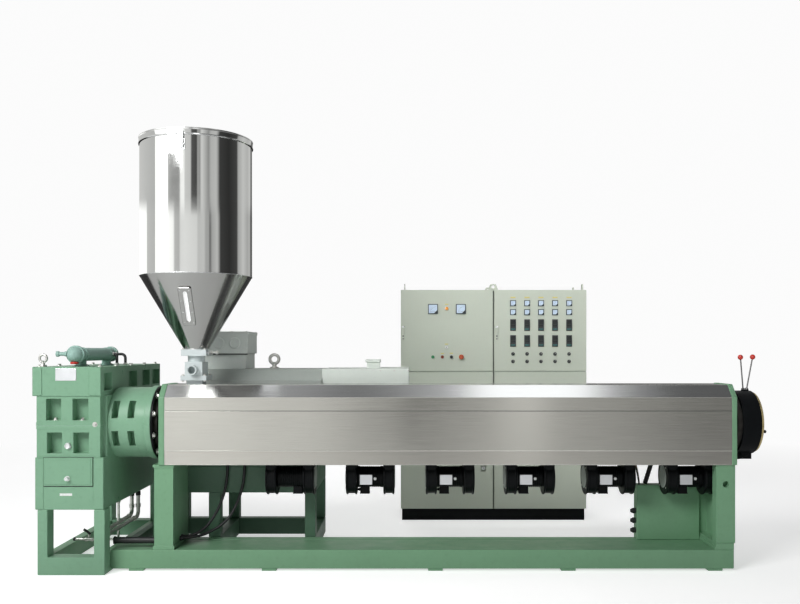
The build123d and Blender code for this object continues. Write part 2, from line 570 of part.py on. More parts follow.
with BuildPart() as right_door_knobs:
    for x in columns:
        for z in (1438, 1373):
            cyl_y(x, CAB_Y0 - 24, CAB_Y0, z, 14)
save(right_door_knobs, "right_door_knobs")
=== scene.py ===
import json
import math
import random

import bmesh
import bpy
import numpy as np
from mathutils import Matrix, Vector
from mathutils.bvhtree import BVHTree


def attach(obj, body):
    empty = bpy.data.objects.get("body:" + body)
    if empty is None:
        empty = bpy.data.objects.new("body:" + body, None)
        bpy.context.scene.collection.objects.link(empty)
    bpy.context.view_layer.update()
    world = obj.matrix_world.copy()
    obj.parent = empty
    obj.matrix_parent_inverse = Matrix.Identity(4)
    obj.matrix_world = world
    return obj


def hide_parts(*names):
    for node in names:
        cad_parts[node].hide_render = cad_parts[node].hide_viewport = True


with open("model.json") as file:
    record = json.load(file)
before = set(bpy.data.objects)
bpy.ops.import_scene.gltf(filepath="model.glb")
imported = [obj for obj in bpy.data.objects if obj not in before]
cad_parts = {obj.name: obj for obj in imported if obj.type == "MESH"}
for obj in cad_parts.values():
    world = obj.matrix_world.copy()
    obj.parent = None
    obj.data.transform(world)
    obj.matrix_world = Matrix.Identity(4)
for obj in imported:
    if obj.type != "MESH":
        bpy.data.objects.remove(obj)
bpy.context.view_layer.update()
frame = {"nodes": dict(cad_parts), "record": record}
scene = bpy.context.scene
NODES = frame["nodes"]
rng = random.Random(7)
RAD = math.radians


def M(x, y, z):
    """Datum millimetres (Y from the front of the base) to the frame, in metres."""
    return Vector(((x + 29.0) / 1000, (y - 983.0) / 1000, z / 1000))


# ---------------------------------------------------------------- camera
cam_data = bpy.data.cameras.new("camera")
cam_data.sensor_fit = "HORIZONTAL"
cam_data.sensor_width = 36.0
cam_data.lens = 38.25
cam_data.shift_x, cam_data.shift_y = -0.01, 0.06
cam_data.clip_end = 200
cam = bpy.data.objects.new("camera", cam_data)
cam.location = M(0, -5661, 1472)
cam.rotation_euler = (RAD(90), 0, 0)
scene.collection.objects.link(cam)
scene.camera = cam
scene.view_settings.view_transform = "Standard"
scene.view_settings.look = "None"


# ---------------------------------------------------------------- materials
class Graph:
    def __init__(self, name):
        self.mat = bpy.data.materials.new(name)
        self.mat.use_nodes = True
        self.nodes = self.mat.node_tree.nodes
        self.links = self.mat.node_tree.links
        self.bsdf = self.nodes["Principled BSDF"]
        self.coord = self.nodes.new("ShaderNodeTexCoord")

    def noise(self, scale, detail=3.0, stretch=(1, 1, 1), rough=0.55):
        mp = self.nodes.new("ShaderNodeMapping")
        mp.inputs["Scale"].default_value = stretch
        self.links.new(self.coord.outputs["Object"], mp.inputs["Vector"])
        n = self.nodes.new("ShaderNodeTexNoise")
        n.inputs["Scale"].default_value = scale
        n.inputs["Detail"].default_value = detail
        n.inputs["Roughness"].default_value = rough
        self.links.new(mp.outputs["Vector"], n.inputs["Vector"])
        return n.outputs["Fac"]

    def ramp(self, fac, stops, mode="LINEAR"):
        r = self.nodes.new("ShaderNodeValToRGB")
        r.color_ramp.interpolation = mode
        while len(r.color_ramp.elements) < len(stops):
            r.color_ramp.elements.new(0.5)
        for e, (p, c) in zip(r.color_ramp.elements, stops):
            e.position = p
            e.color = (*c, 1) if len(c) == 3 else c
        self.links.new(fac, r.inputs["Fac"])
        return r.outputs["Color"]

    def remap(self, fac, lo, hi, a=0.3, b=0.7):
        m = self.nodes.new("ShaderNodeMapRange")
        m.inputs["From Min"].default_value = a
        m.inputs["From Max"].default_value = b
        m.inputs["To Min"].default_value = lo
        m.inputs["To Max"].default_value = hi
        self.links.new(fac, m.inputs["Value"])
        return m.outputs["Result"]

    def mix(self, fac, a, b, blend="MIX"):
        m = self.nodes.new("ShaderNodeMix")
        m.data_type = "RGBA"
        m.blend_type = blend
        for sock, v in ((m.inputs["Factor"], fac), (m.inputs["A"], a), (m.inputs["B"], b)):
            if isinstance(v, bpy.types.NodeSocket):
                self.links.new(v, sock)
            elif isinstance(v, (tuple, list)):
                sock.default_value = (*v, 1)
            else:
                sock.default_value = v
        return next(s for s in m.outputs if s.type == "RGBA")

    def color(self, src):
        self.links.new(src, self.bsdf.inputs["Base Color"])

    def rough(self, src):
        self.links.new(src, self.bsdf.inputs["Roughness"])

    def bump(self, fac, strength, distance):
        b = self.nodes.new("ShaderNodeBump")
        b.inputs["Strength"].default_value = strength
        b.inputs["Distance"].default_value = distance
        self.links.new(fac, b.inputs["Height"])
        if self.bsdf.inputs["Normal"].is_linked:
            self.links.new(self.bsdf.inputs["Normal"].links[0].from_socket, b.inputs["Normal"])
        self.links.new(b.outputs["Normal"], self.bsdf.inputs["Normal"])

    def height(self):
        s = self.nodes.new("ShaderNodeSeparateXYZ")
        self.links.new(self.coord.outputs["Object"], s.inputs["Vector"])
        return s.outputs


def shade(c, k):
    return tuple(max(0.0, min(1.0, v * k)) for v in c)


def paint(name, rgb, rough=0.38, var=0.10, peel=0.25, bottom_darkening=0.35):
    """Sprayed enamel: slight colour drift, orange peel, grime in patches, and darker towards the bottom."""
    g = Graph(name)
    big = g.noise(2.3, 4)
    fine = g.noise(38, 5)
    base = g.ramp(big, [(0.25, shade(rgb, 1 - var)), (0.75, shade(rgb, 1 + var))])
    speck = g.ramp(fine, [(0.30, shade(rgb, 1 - 1.6 * var)), (0.45, rgb), (0.8, shade(rgb, 1 + 0.5 * var))])
    col = g.mix(0.35, base, speck)
    z = g.height()[2]
    # colour darkens towards the bottom, fading out 0.28 m up
    low = g.remap(z, bottom_darkening, 0.0, 0.0, 0.28)
    col = g.mix(low, col, shade(rgb, 0.55))
    g.color(col)
    g.rough(g.remap(g.noise(9, 4), rough - 0.07, rough + 0.09))
    g.bump(g.noise(420, 2), peel * 0.3, 0.0006)
    g.bsdf.inputs["Specular IOR Level"].default_value = 0.33
    return g.mat


def brushed(name, rgb, rough=0.30, stretch=(1.2, 260, 260), bump=0.10, streak=0.0):
    """Sheet steel with brush lines along the short-stretch axis and handling marks."""
    g = Graph(name)
    lines = g.noise(3.0, 3, stretch, 0.7)
    soft = g.noise(1.1, 3)
    a = g.ramp(lines, [(0.3, shade(rgb, 0.90)), (0.7, shade(rgb, 1.08))])
    b = g.ramp(soft, [(0.3, shade(rgb, 0.93)), (0.7, shade(rgb, 1.05))])
    g.color(g.mix(0.45, a, b))
    r1 = g.remap(lines, rough - 0.05, rough + 0.05)
    m = g.nodes.new("ShaderNodeMath")
    m.operation = "ADD"
    g.links.new(r1, m.inputs[0])
    g.links.new(g.remap(soft, -0.03, 0.04), m.inputs[1])
    g.rough(m.outputs[0])
    g.bump(lines, bump, 0.0004)
    g.bsdf.inputs["Metallic"].default_value = 1.0
    if streak:
        t = g.nodes.new("ShaderNodeTangent")
        t.direction_type = "RADIAL"
        t.axis = "X"
        g.links.new(t.outputs["Tangent"], g.bsdf.inputs["Tangent"])
        g.bsdf.inputs["Anisotropic"].default_value = streak
    return g.mat


def polished(name, rgb, rough=0.05):
    """Mirror sheet: faint waviness from rolling and a haze of fingermarks."""
    g = Graph(name)
    haze = g.noise(6, 5)
    g.color(g.ramp(haze, [(0.3, shade(rgb, 0.97)), (0.75, rgb)]))
    g.rough(g.remap(haze, rough - 0.02, rough + 0.05, 0.35, 0.75))
    g.bump(g.noise(2.4, 1, (1, 1, 0.35)), 0.10, 0.010)
    g.bsdf.inputs["Metallic"].default_value = 1.0
    return g.mat


def metal(name, rgb, rough=0.35, var=0.12, scale=60):
    g = Graph(name)
    n = g.noise(scale, 4)
    g.color(g.ramp(n, [(0.3, shade(rgb, 1 - var)), (0.7, shade(rgb, 1 + var))]))
    g.rough(g.remap(n, rough - 0.08, rough + 0.10))
    g.bump(g.noise(scale * 5, 2), 0.12, 0.0004)
    g.bsdf.inputs["Metallic"].default_value = 1.0
    return g.mat


def plastic(name, rgb, rough=0.35, var=0.06, scale=120, emit=0.0):
    g = Graph(name)
    n = g.noise(scale, 3)
    g.color(g.ramp(n, [(0.3, shade(rgb, 1 - var)), (0.7, shade(rgb, 1 + var))]))
    g.rough(g.remap(g.noise(scale * 0.3, 3), rough - 0.05, rough + 0.08))
    g.bump(g.noise(scale * 8, 2), 0.06, 0.0002)
    if emit:
        g.bsdf.inputs["Emission Color"].default_value = (*rgb, 1)
        g.bsdf.inputs["Emission Strength"].default_value = emit
    return g.mat


GREEN = paint("green_enamel", (0.205, 0.400, 0.240), 0.36)
# GREEN_LIT: a lighter copy of the machine green for the gearbox, painted light
GREEN_LIT = paint("green_enamel_painted_lit", (0.225, 0.415, 0.275), 0.34)
for m_ in (GREEN, GREEN_LIT):
    m_.node_tree.nodes["Principled BSDF"].inputs["Specular IOR Level"].default_value = 0.25
# a darker copy of the machine green for the motor frame set back under the motor, painted shade
GREEN_SHADED = paint("green_enamel_painted_shade", (0.085, 0.170, 0.110), 0.42)
STEEL = brushed("brushed_guard_steel", (0.50, 0.495, 0.455), 0.18, bump=0.05, streak=0.85)
# a lighter copy of the guard steel for the top and upward-facing bevels, painted light
STEEL_TOP_LIT = brushed("brushed_guard_bevel_painted_lit", (0.58, 0.585, 0.58), 0.15, (1.2, 160, 160), 0.03, 0.8)
STEEL_LOW = brushed("brushed_guard_sill", (0.50, 0.490, 0.450), 0.19, bump=0.05, streak=0.85)
# a brighter copy of the guard steel for the folded lips: painted highlight along the seams
LIP = brushed("folded_edge_painted_highlight", (0.72, 0.71, 0.67), 0.22)
MIRROR = polished("mirror_hopper_steel", (0.86, 0.87, 0.865), 0.045)
# a darker copy of the hopper's mirror steel for the cone and window frame: painted shade in place of darker reflections
MIRROR_CONE_SHADED = polished("mirror_cone_steel_painted_shade", (0.44, 0.442, 0.43), 0.11)
BRIGHT = metal("machined_bright_steel", (0.78, 0.80, 0.80), 0.30, 0.06)
ZINC = metal("zinc_plated_bolt", (0.66, 0.66, 0.63), 0.33, 0.10)
BOLT_DARK = metal("oiled_bolt_steel", (0.20, 0.20, 0.20), 0.42, 0.15)
BARREL = metal("nitrided_barrel_steel", (0.045, 0.043, 0.040), 0.50, 0.25, 30)
HEATER = metal("cast_heater_aluminium", (0.45, 0.40, 0.34), 0.55, 0.15, 40)
BLACK = paint("black_enamel", (0.0045, 0.0055, 0.006), 0.34, 0.25, 0.35, 0.1)
BLACK.node_tree.nodes["Principled BSDF"].inputs["Specular IOR Level"].default_value = 0.10
BLACK_RING = paint("black_clamp_enamel", (0.004, 0.005, 0.006), 0.45, 0.25, 0.35, 0.0)
BLACK_RING.node_tree.nodes["Principled BSDF"].inputs["Specular IOR Level"].default_value = 0.09
BRASS = metal("turned_brass", (0.60, 0.49, 0.25), 0.38, 0.12, 50)
GREY = paint("motor_grey_enamel", (0.36, 0.395, 0.365), 0.42, 0.07)
# a lighter copy of the motor grey for the terminal box, painted light where the hopper shades it
GREY_BOX_LIT = paint("terminal_box_enamel_painted_lit", (0.58, 0.625, 0.59), 0.40, 0.06)
PALE = paint("pale_box_enamel", (0.71, 0.765, 0.71), 0.42, 0.04)
CABINET = paint("cabinet_powder_coat", (0.530, 0.575, 0.490), 0.44, 0.03, 0.5, 0.05)
# near-black for strips set into gaps and under lids as painted shade
GAP_SHADE = plastic("painted_gap_shade", (0.020, 0.024, 0.024), 0.6)
RUBBER = plastic("cable_rubber", (0.014, 0.015, 0.016), 0.5)
DARK_PL = plastic("dark_moulding", (0.020, 0.024, 0.026), 0.38)
FRAME_PL = plastic("meter_frame", (0.022, 0.040, 0.055), 0.35)
# two copies of one seal grey, lighter and darker: painted light and shade in the door gaps
SEAL_PAINTED_LIT = paint("seal_grey", (0.36, 0.40, 0.345), 0.5, 0.05)
SEAL_PAINTED_SHADE = paint("seal_grey_painted_shade", (0.11, 0.122, 0.107), 0.5, 0.05)
FACE = plastic("meter_face", (0.60, 0.72, 0.86), 0.12, 0.03, 60)
WHITE = plastic("white_moulding", (0.82, 0.84, 0.82), 0.3)
ORANGE = plastic("orange_lens", (0.80, 0.33, 0.05), 0.18, 0.05, 90, 0.12)
RED = plastic("red_knob", (0.62, 0.045, 0.030), 0.25)
RED_BTN = plastic("red_button", (0.50, 0.090, 0.035), 0.3)
BROWN_BTN = plastic("brown_button", (0.23, 0.045, 0.025), 0.3)
GREEN_BTN = plastic("green_button", (0.030, 0.22, 0.085), 0.3)
YELLOW = plastic("yellow_blank_tag", (0.62, 0.56, 0.20), 0.45)
TEAL = plastic("display_strip", (0.06, 0.20, 0.19), 0.15, 0.1, 90, 0.06)
# the sight strip glows though it is no lamp: painted light standing in for its reflection
SIGHT_GLOW = plastic("sight_strip_painted_glow", (0.90, 0.92, 0.91), 0.12, 0.03, 60, 0.35)
COPPER = metal("brown_lagging", (0.30, 0.19, 0.11), 0.6, 0.2, 40)
PLATE = metal("blank_plate", (0.76, 0.78, 0.80), 0.36, 0.03, 9)
# near-black: painted shade behind the cooling box grille, and the dark panels of the right-hand instruments
SHADE_AND_DARK_PANEL = plastic("painted_shade_and_dark_panel", (0.010, 0.012, 0.012), 0.7)


# ---------------------------------------------------------------- mesh helpers
def settle(me, angle):
    """Corner normals weighted by face area, so flats stay flat and eased edges roll between them."""
    nl = len(me.loops)
    vert = np.empty(nl, dtype=np.int64)
    me.loops.foreach_get("vertex_index", vert)
    pn = np.empty(len(me.polygons) * 3)
    me.polygons.foreach_get("normal", pn)
    pn = pn.reshape(-1, 3)
    area_ = np.empty(len(me.polygons))
    me.polygons.foreach_get("area", area_)
    size = np.empty(len(me.polygons), dtype=np.int64)
    me.polygons.foreach_get("loop_total", size)
    poly = np.repeat(np.arange(len(me.polygons)), size)
    order = np.argsort(vert, kind="stable")
    counts = np.bincount(vert, minlength=len(me.vertices))
    starts = np.cumsum(counts) - counts
    per = counts[vert]
    mine = np.repeat(np.arange(nl), per)
    step = np.arange(per.sum()) - np.repeat(np.cumsum(per) - per, per)
    other = order[starts[vert[mine]] + step]
    a, b = pn[poly[mine]], pn[poly[other]]
    w = area_[poly[other]] * ((a * b).sum(1) > math.cos(RAD(angle)))
    out = np.stack([np.bincount(mine, weights=w * b[:, k], minlength=nl) for k in range(3)], 1)
    length = np.linalg.norm(out, axis=1)
    bad = length < 1e-15
    out[bad] = pn[poly[bad]]
    length[bad] = 1.0
    me.normals_split_custom_set((out / length[:, None]).tolist())


def make(name, bm, mats, body="machine", angle=32):
    me = bpy.data.meshes.new(name)
    bm.normal_update()
    bm.to_mesh(me)
    bm.free()
    for m in mats if isinstance(mats, (list, tuple)) else [mats]:
        me.materials.append(m)
    me.shade_smooth()
    me.set_sharp_from_angle(angle=RAD(angle))
    settle(me, angle)
    o = bpy.data.objects.new(name, me)
    scene.collection.objects.link(o)
    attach(o, body)
    return o


def body_of(node):
    for b, members in frame["record"]["behaviour"]["bodies"].items():
        if node in members:
            return b
    return "machine"


def room(edge):
    """Clear width of the faces beside an edge, measured across it from its middle, in mm."""
    best = 10.0
    m = (edge.verts[0].co + edge.verts[1].co) / 2
    for loop in edge.link_loops:
        f = loop.face
        d = (loop.link_loop_next.vert.co - loop.vert.co).normalized()
        t = f.normal.cross(d)
        for e in f.edges:
            if e is edge or (len(e.link_faces) == 2 and e.calc_face_angle(0) < RAD(1)):
                continue
            p, q = e.verts[0].co - m, e.verts[1].co - m
            x0, x1 = p.dot(d), q.dot(d)
            if x0 * x1 < 0:
                s = p.dot(t) + (q.dot(t) - p.dot(t)) * x0 / (x0 - x1)
                if 1e-6 < s < best:
                    best = s
    return best * 1000


def folded(bm, tree, w, slack):
    """True where easing has turned faces over or thrown them off the original surface."""
    area_ = 0.0
    for f in bm.faces:
        size = f.calc_area()
        if size < 2e-8:
            continue
        _, no, _, d = tree.find_nearest(f.calc_center_median())
        if d > (1.2 * w + 0.5) / 1000 or no.dot(f.normal) < -0.1:
            area_ += size
    return area_ > slack


def rounded(node, w, mat, seg=2, name=None, slack=3e-6):
    """A copy of a node with eased edges, standing for it."""
    src = NODES[node].data
    tree = BVHTree.FromPolygons([v.co for v in src.vertices], [list(p.vertices) for p in src.polygons])
    for k in (1.0, 0.7, 0.45, 0.25, 0.0):
        bm = bmesh.new()
        bm.from_mesh(src)
        bmesh.ops.remove_doubles(bm, verts=bm.verts, dist=2e-6)
        bmesh.ops.dissolve_limit(bm, angle_limit=RAD(0.6), verts=bm.verts, edges=bm.edges)
        hard = [e for e in bm.edges if len(e.link_faces) == 2 and e.calc_face_angle(0) > RAD(28) and room(e) > 2.3 * w * k]
        if k and hard:
            bmesh.ops.bevel(bm, geom=hard, offset=w * k / 1000, segments=seg, profile=0.5, affect="EDGES", clamp_overlap=False)
        bmesh.ops.triangulate(bm, faces=bm.faces, quad_method="BEAUTY", ngon_method="BEAUTY")
        bm.normal_update()
        if k == 0.0 or not folded(bm, tree, w * k, slack):
            break
        bm.free()
    for f in bm.faces:
        f.material_index = 0
    o = make(name or node + "_eased", bm, mat, body_of(node), 40)
    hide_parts(node)
    return o


def skin(node, mat):
    for s in NODES[node].material_slots:
        s.material = mat


def tag(bm, before, mat):
    for f in bm.faces:
        if f not in before:
            f.material_index = mat


def box(bm, x0, x1, y0, y1, z0, z1, bevel=0.0, mat=0, seg=2):
    before = set(bm.faces)
    lo, hi = M(x0, y0, z0), M(x1, y1, z1)
    geo = bmesh.ops.create_cube(bm, size=1.0)
    for v in geo["verts"]:
        v.co = Vector([lo[i] + (v.co[i] + 0.5) * (hi[i] - lo[i]) for i in range(3)])
    if bevel:
        edges = list({e for v in geo["verts"] for e in v.link_edges})
        bmesh.ops.bevel(bm, geom=edges, offset=bevel / 1000, segments=seg, profile=0.5, affect="EDGES")
    tag(bm, before, mat)


def turn(bm, centre, axis, profile, seg=32, mat=0, start=0.0, squash=None):
    """Revolves (radius, height) pairs in mm about an axis through centre."""
    axis = Vector(axis).normalized()
    side = axis.orthogonal().normalized()
    if abs(axis.x) > 0.9 or abs(axis.y) > 0.9:
        side = Vector((0, 0, 1))
    other = axis.cross(side)
    rows = []
    for r, h in profile:
        if r <= 1e-6:
            rows.append([bm.verts.new(centre + axis * h / 1000)])
        else:
            row = []
            for i in range(seg):
                a = start + 2 * math.pi * i / seg
                row.append(bm.verts.new(centre + axis * h / 1000 + (side * math.cos(a) + other * math.sin(a)) * r / 1000))
            rows.append(row)
    for p, q in zip(rows, rows[1:]):
        for i in range(seg):
            j = (i + 1) % seg
            ring = [p[i % len(p)], p[j % len(p)], q[j % len(q)], q[i % len(q)]]
            uniq = list(dict.fromkeys(ring))
            if len(uniq) >= 3:
                bm.faces.new(uniq).material_index = mat
    for row, flip in ((rows[0], True), (rows[-1], False)):
        if len(row) > 2:
            bm.faces.new(row[::-1] if flip else row).material_index = mat


def bolt(bm, p, axis, af, mat=0, washer=True, tall=0.62):
    """A chamfered hexagon head on a washer; af is the width across flats in mm."""
    axis = Vector(axis).normalized()
    h = 0.0
    if washer:
        turn(bm, p, axis, [(af * 0.0, 0), (af * 0.98, 0), (af * 1.0, af * 0.06), (af * 0.98, af * 0.12), (0, af * 0.12)], 20, mat)
        h = af * 0.12
    r = af / math.sqrt(3)
    turn(bm, p, axis, [(0, h), (r, h), (r, h + af * tall * 0.86), (r * 0.86, h + af * tall), (0, h + af * tall)], 6, mat, rng.random())


def screw(bm, p, axis, d, mat=0):
    """A domed slotted-free pan head."""
    turn(bm, p, axis, [(0, 0), (d * 0.5, 0), (d * 0.5, d * 0.10), (d * 0.38, d * 0.26), (d * 0.16, d * 0.31), (d * 0.14, d * 0.20), (0, d * 0.18)], 16, mat)


def pipe(bm, pts, r, seg=14, mat=0):
    rows = []
    prev = None
    for i, p in enumerate(pts):
        t = (pts[min(i + 1, len(pts) - 1)] - pts[max(i - 1, 0)]).normalized()
        side = prev - t * prev.dot(t) if prev is not None else t.orthogonal()
        side.normalize()
        prev = side
        other = t.cross(side)
        rows.append([bm.verts.new(p + (side * math.cos(2 * math.pi * k / seg) + other * math.sin(2 * math.pi * k / seg)) * r / 1000) for k in range(seg)])
    for a, b in zip(rows, rows[1:]):
        for k in range(seg):
            bm.faces.new([a[k], a[(k + 1) % seg], b[(k + 1) % seg], b[k]]).material_index = mat
    bm.faces.new(rows[0][::-1]).material_index = mat
    bm.faces.new(rows[-1]).material_index = mat


X, Y, Z = Vector((1, 0, 0)), Vector((0, 1, 0)), Vector((0, 0, 1))

# ---------------------------------------------------------------- cords
routes = {
    "cable_a": ((-1280, 380, 706.5), (-1280.5, 379.5, 560), (-1318, 358, 395), (-1390, 300, 250), (-1480, 222, 184), (-1564.8, 215, 182)),
    "cable_b": ((-1159, 380, 706.5), (-1159.5, 379.5, 560), (-1204, 366, 394), (-1276, 330, 262), (-1400, 268, 190), (-1490, 186, 182), (-1564.8, 176, 180)),
}


def spline_length(curve_obj):
    me = bpy.data.meshes.new_from_object(curve_obj)
    co = [v.co.copy() for v in me.vertices]
    bpy.data.meshes.remove(me)
    return sum((b - a).length for a, b in zip(co, co[1:]))


for node, pts in routes.items():
    cu = bpy.data.curves.new(node + "_sheath", "CURVE")
    cu.dimensions = "3D"
    sp = cu.splines.new("NURBS")
    sp.points.add(len(pts) - 1)
    for q, p in zip(sp.points, pts):
        q.co = (*M(*p), 1)
    sp.order_u = 3
    sp.use_endpoint_u = True
    sp.resolution_u = 16
    o = bpy.data.objects.new(node + "_sheath", cu)
    scene.collection.objects.link(o)
    cu.materials.append(RUBBER)
    real = spline_length(o)
    cu.bevel_depth = 0.010
    cu.bevel_resolution = 5
    cu.use_fill_caps = True
    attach(o, "machine")
    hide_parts(node)

# gland nuts where the cables leave the guard's lip and enter the pedestal
bm = bmesh.new()
for node, pts in routes.items():
    turn(bm, M(*pts[0]), -Z, [(11, 0), (17, 0), (17, 14), (14, 18), (13, 30), (10.5, 32)], 20)
    turn(bm, M(-1566, pts[-1][1], pts[-1][2]), X, [(11, 0), (17, 0), (17, 10), (14, 14), (13, 26), (10.5, 28)], 20)
make("cable_gland_nuts", bm, DARK_PL)

# ---------------------------------------------------------------- base
rounded("base_beams", 5, GREEN, 3)
rounded("base_cross_members", 3, GREEN)
rounded("levelling_feet", 2.5, GREEN)
rounded("left_pedestal", 3.5, GREEN, 3)
rounded("right_pedestal", 3.5, GREEN, 3)
# weld beads where the pedestals meet their plates
bm = bmesh.new()
for z in (165.5, 689.5):
    pipe(bm, [M(-1692, 4.5, z), M(-1630, 4, z + 0.6), M(-1566, 4.5, z)], 4.5, 8)
    pipe(bm, [M(-1565.5, 5, z), M(-1565, 200, z + 0.5), M(-1565.5, 390, z)], 4.5, 8)
pipe(bm, [M(2054, -0.2, 187.5), M(2110, -0.5, 188), M(2172, -0.2, 187.5)], 4.0, 8)
make("pedestal_welds", bm, GREEN)

# ---------------------------------------------------------------- gearbox
rounded("gearbox_stand_portals", 5, GREEN_LIT, 3)
rounded("gearbox_stand_rails", 4, GREEN)
rounded("gearbox_lower_case", 5, GREEN_LIT, 3)
rounded("gearbox_upper_case", 5, GREEN_LIT, 3)
rounded("output_neck", 4, GREEN_LIT, 3, slack=7e-5)
rounded("input_coupling", 3, BARREL)

bm = bmesh.new()
# cover plate with a raised edge, its screws and the pull knob; the blank plate above; the dark rim round the cover
# plate is painted shade
box(bm, -2377, -2057, -121, -111, 585, 769, 4, 0)
box(bm, -2367, -2067, -123, -120, 595, 759, 2.5, 0)
box(bm, -2381, -2053, -112.2, -110.5, 579, 771, 0, 5)
box(bm, -2274, -2193, -112.6, -110, 520, 536, 0.5, 6)
turn(bm, M(-2219, -122, 634), -Y, [(0, 0), (17, 0), (17, 3), (8, 4), (7, 13), (13, 17), (14, 22), (12.5, 26.5), (7, 28), (0, 28)], 28, 3)
turn(bm, M(-2222, -105, 845), -Y, [(0, 0), (22, 0), (22, 6), (20, 8), (19, 15), (16, 17.5), (12, 17.5), (11, 14), (0, 14)], 32, 3)
box(bm, -2301, -2165, -116.6, -113, 1272, 1352, 1.2, 4)
for x in (-2294, -2172):
    for z in (1279, 1345):
        screw(bm, M(x, -116.4, z), -Y, 7, 3)
o = make("gearbox_front_fittings", bm, [GREEN_LIT, ZINC, GREEN_LIT, BRIGHT, PLATE, GAP_SHADE, WHITE])
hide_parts("gearbox_fittings")

bm = bmesh.new()
# bolts through the parting flange, in the pockets and round the caps
for x in (-2046,):
    bolt(bm, M(x, -105, 985), -Y, 17)
for x0, x1 in ((-2366, -2268), (-2193, -2090)):
    bolt(bm, M(x0 + (x1 - x0) * 0.56, -78, 1012), Z, 22)
for y0, y1 in ((480, 610), (980, 1120)):
    for k in (0.3, 0.7):
        bolt(bm, M(-2041, y0 + (y1 - y0) * k, 1012), Z, 26)
        bolt(bm, M(-2399, y0 + (y1 - y0) * k, 1012), Z, 26)
for y in (-60, 255, 570, 885, 1165):
    for x in (-2425, -2031):
        bolt(bm, M(x, y, 1362), Z, 20)
for i in range(8):
    a = RAD(22.5 + 45 * i)
    bolt(bm, M(-1900, 772 + 88 * math.cos(a), 977 + 88 * math.sin(a)), X, 15)
for i in range(10):
    a = RAD(18 + 36 * i)
    bolt(bm, M(-1690, 200 - 230 * math.cos(a), 977 + 230 * math.sin(a)), X, 22, tall=0.5)
for x in (-1942, -1836):
    for y in (44, 356):
        bolt(bm, M(x, y, 1020), Z, 16)
        bolt(bm, M(x, y, 935), -Z, 16)
make("gearbox_bolts", bm, ZINC)

bm = bmesh.new()
# machined joint line: a thin strip round the split, painted lighter than the case as a highlight
box(bm, -2431.6, -2008.4, -107.6, 1201.6, 976.0, 978.0, 0, 0)
make("split_line_highlight", bm, paint("joint_line_painted_highlight", (0.36, 0.55, 0.43), 0.4, 0.05))
# a ring at the neck's end in black enamel: painted shade for the neck's shaded end face
bm = bmesh.new()
turn(bm, M(-1706, 200, 977), X, [(220, 0), (248, 0), (248, 12), (245, 15), (223, 15), (220, 12)], 72)
bmesh.ops.delete(bm, geom=[f for f in bm.faces if len(f.verts) > 4], context="FACES_ONLY")
make("neck_joint_ring", bm, BLACK)

# raised corner strips on the cast blocks
bm = bmesh.new()
for x0, x1 in ((-2450, -2390), (-2082, -2006)):
    box(bm, x0, x1, -117, -112, 1175, 1358, 3.5)
for x0, x1 in ((-2433, -2380), (-2054, -1990)):
    box(bm, x0, x1, -114, -110, 434, 764, 2.6)
make("case_corner_strips", bm, GREEN_LIT)

bm = bmesh.new()
for x, y, z, big in ((-2404, -60, 1362, 24), (-2404, 1140, 1362, 24), (-1011, 772, 1332, 34)):
    turn(bm, M(x, y, z), Z, [(0, 0), (big, 0), (big, 8), (big * 0.9, 12), (big * 0.5, 14), (big * 0.42, big * 0.7 + 14), (big * 0.6, big * 0.95 + 16), (0, big + 16)], 28)
    c = M(x, y, z + 1.55 * big + 18)
    ring = []
    for k in range(36):
        a = 2 * math.pi * k / 36
        ring.append([bm.verts.new(c + (X * math.cos(a) + Z * math.sin(a)) * (big + big * 0.34 * math.cos(b)) / 1000 + Y * (big * 0.34 * math.sin(b)) / 1000) for b in [2 * math.pi * j / 14 for j in range(14)]])
    for k in range(36):
        for j in range(14):
            bm.faces.new([ring[k][j], ring[(k + 1) % 36][j], ring[(k + 1) % 36][(j + 1) % 14], ring[k][(j + 1) % 14]])
o = make("forged_lifting_eyes", bm, ZINC)
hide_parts("lifting_eyes")

# oil cooler: shell, bolted heads, saddles, nozzle with its hose tail
bm = bmesh.new()
cx, cz = -2208, 1442
c0 = M(cx, 0, cz)
turn(bm, c0, Y, [(46, 0), (46, 8), (45, 10), (45, 628), (46, 632), (46, 640)], 40, 0)
turn(bm, M(cx, -22, cz), Y, [(0, -54), (14, -53), (30, -45), (42, -32), (50, -16), (53, -3), (60, -1), (60, 9), (57, 10.5), (57, 12), (60, 13), (60, 21), (58, 22), (0, 22)], 40, 0)
turn(bm, M(cx, 640, cz), Y, [(0, 0), (56, 0), (56, 11), (54, 12), (56, 13), (56, 22), (54, 24), (44, 24), (43, 44), (38, 52), (26, 54), (0, 54)], 40, 0)
for i in range(8):
    a = RAD(22.5 + 45 * i)
    bolt(bm, M(cx + 54 * math.cos(a), -1, cz + 54 * math.sin(a)), Y, 8, 1, False)
    bolt(bm, M(cx + 51 * math.cos(a), 640, cz + 51 * math.sin(a)), -Y, 8, 1, False)
turn(bm, M(cx - 46, -38, 1446), -X, [(0, 0), (17, 0), (17, 14), (13, 16), (13, 50), (18, 54), (19, 58), (19, 70), (16, 72), (10, 72), (10, 60), (0, 60)], 28, 0)
turn(bm, M(cx, -34, 1393), -Z, [(0, 0), (24, 0), (26, 3), (26, 12), (22, 15), (0, 15)], 28, 2)
for y in (90.0, 560.0):
    box(bm, -2252, -2164, y - 20, y + 20, 1362, 1370, 2, 0)
    box(bm, -2240, -2176, y - 6, y + 6, 1370, 1404, 1.5, 0)
    turn(bm, M(cx, y - 14, cz), Y, [(46, 0), (49, 0), (49, 28), (46, 28)], 36, 0)
    for x in (-2246, -2170):
        bolt(bm, M(x, y, 1370), Z, 9, 1)
COOLER = paint("cooler_enamel", (0.34, 0.52, 0.46), 0.46)
COOLER.node_tree.nodes["Principled BSDF"].inputs["Specular IOR Level"].default_value = 0.18
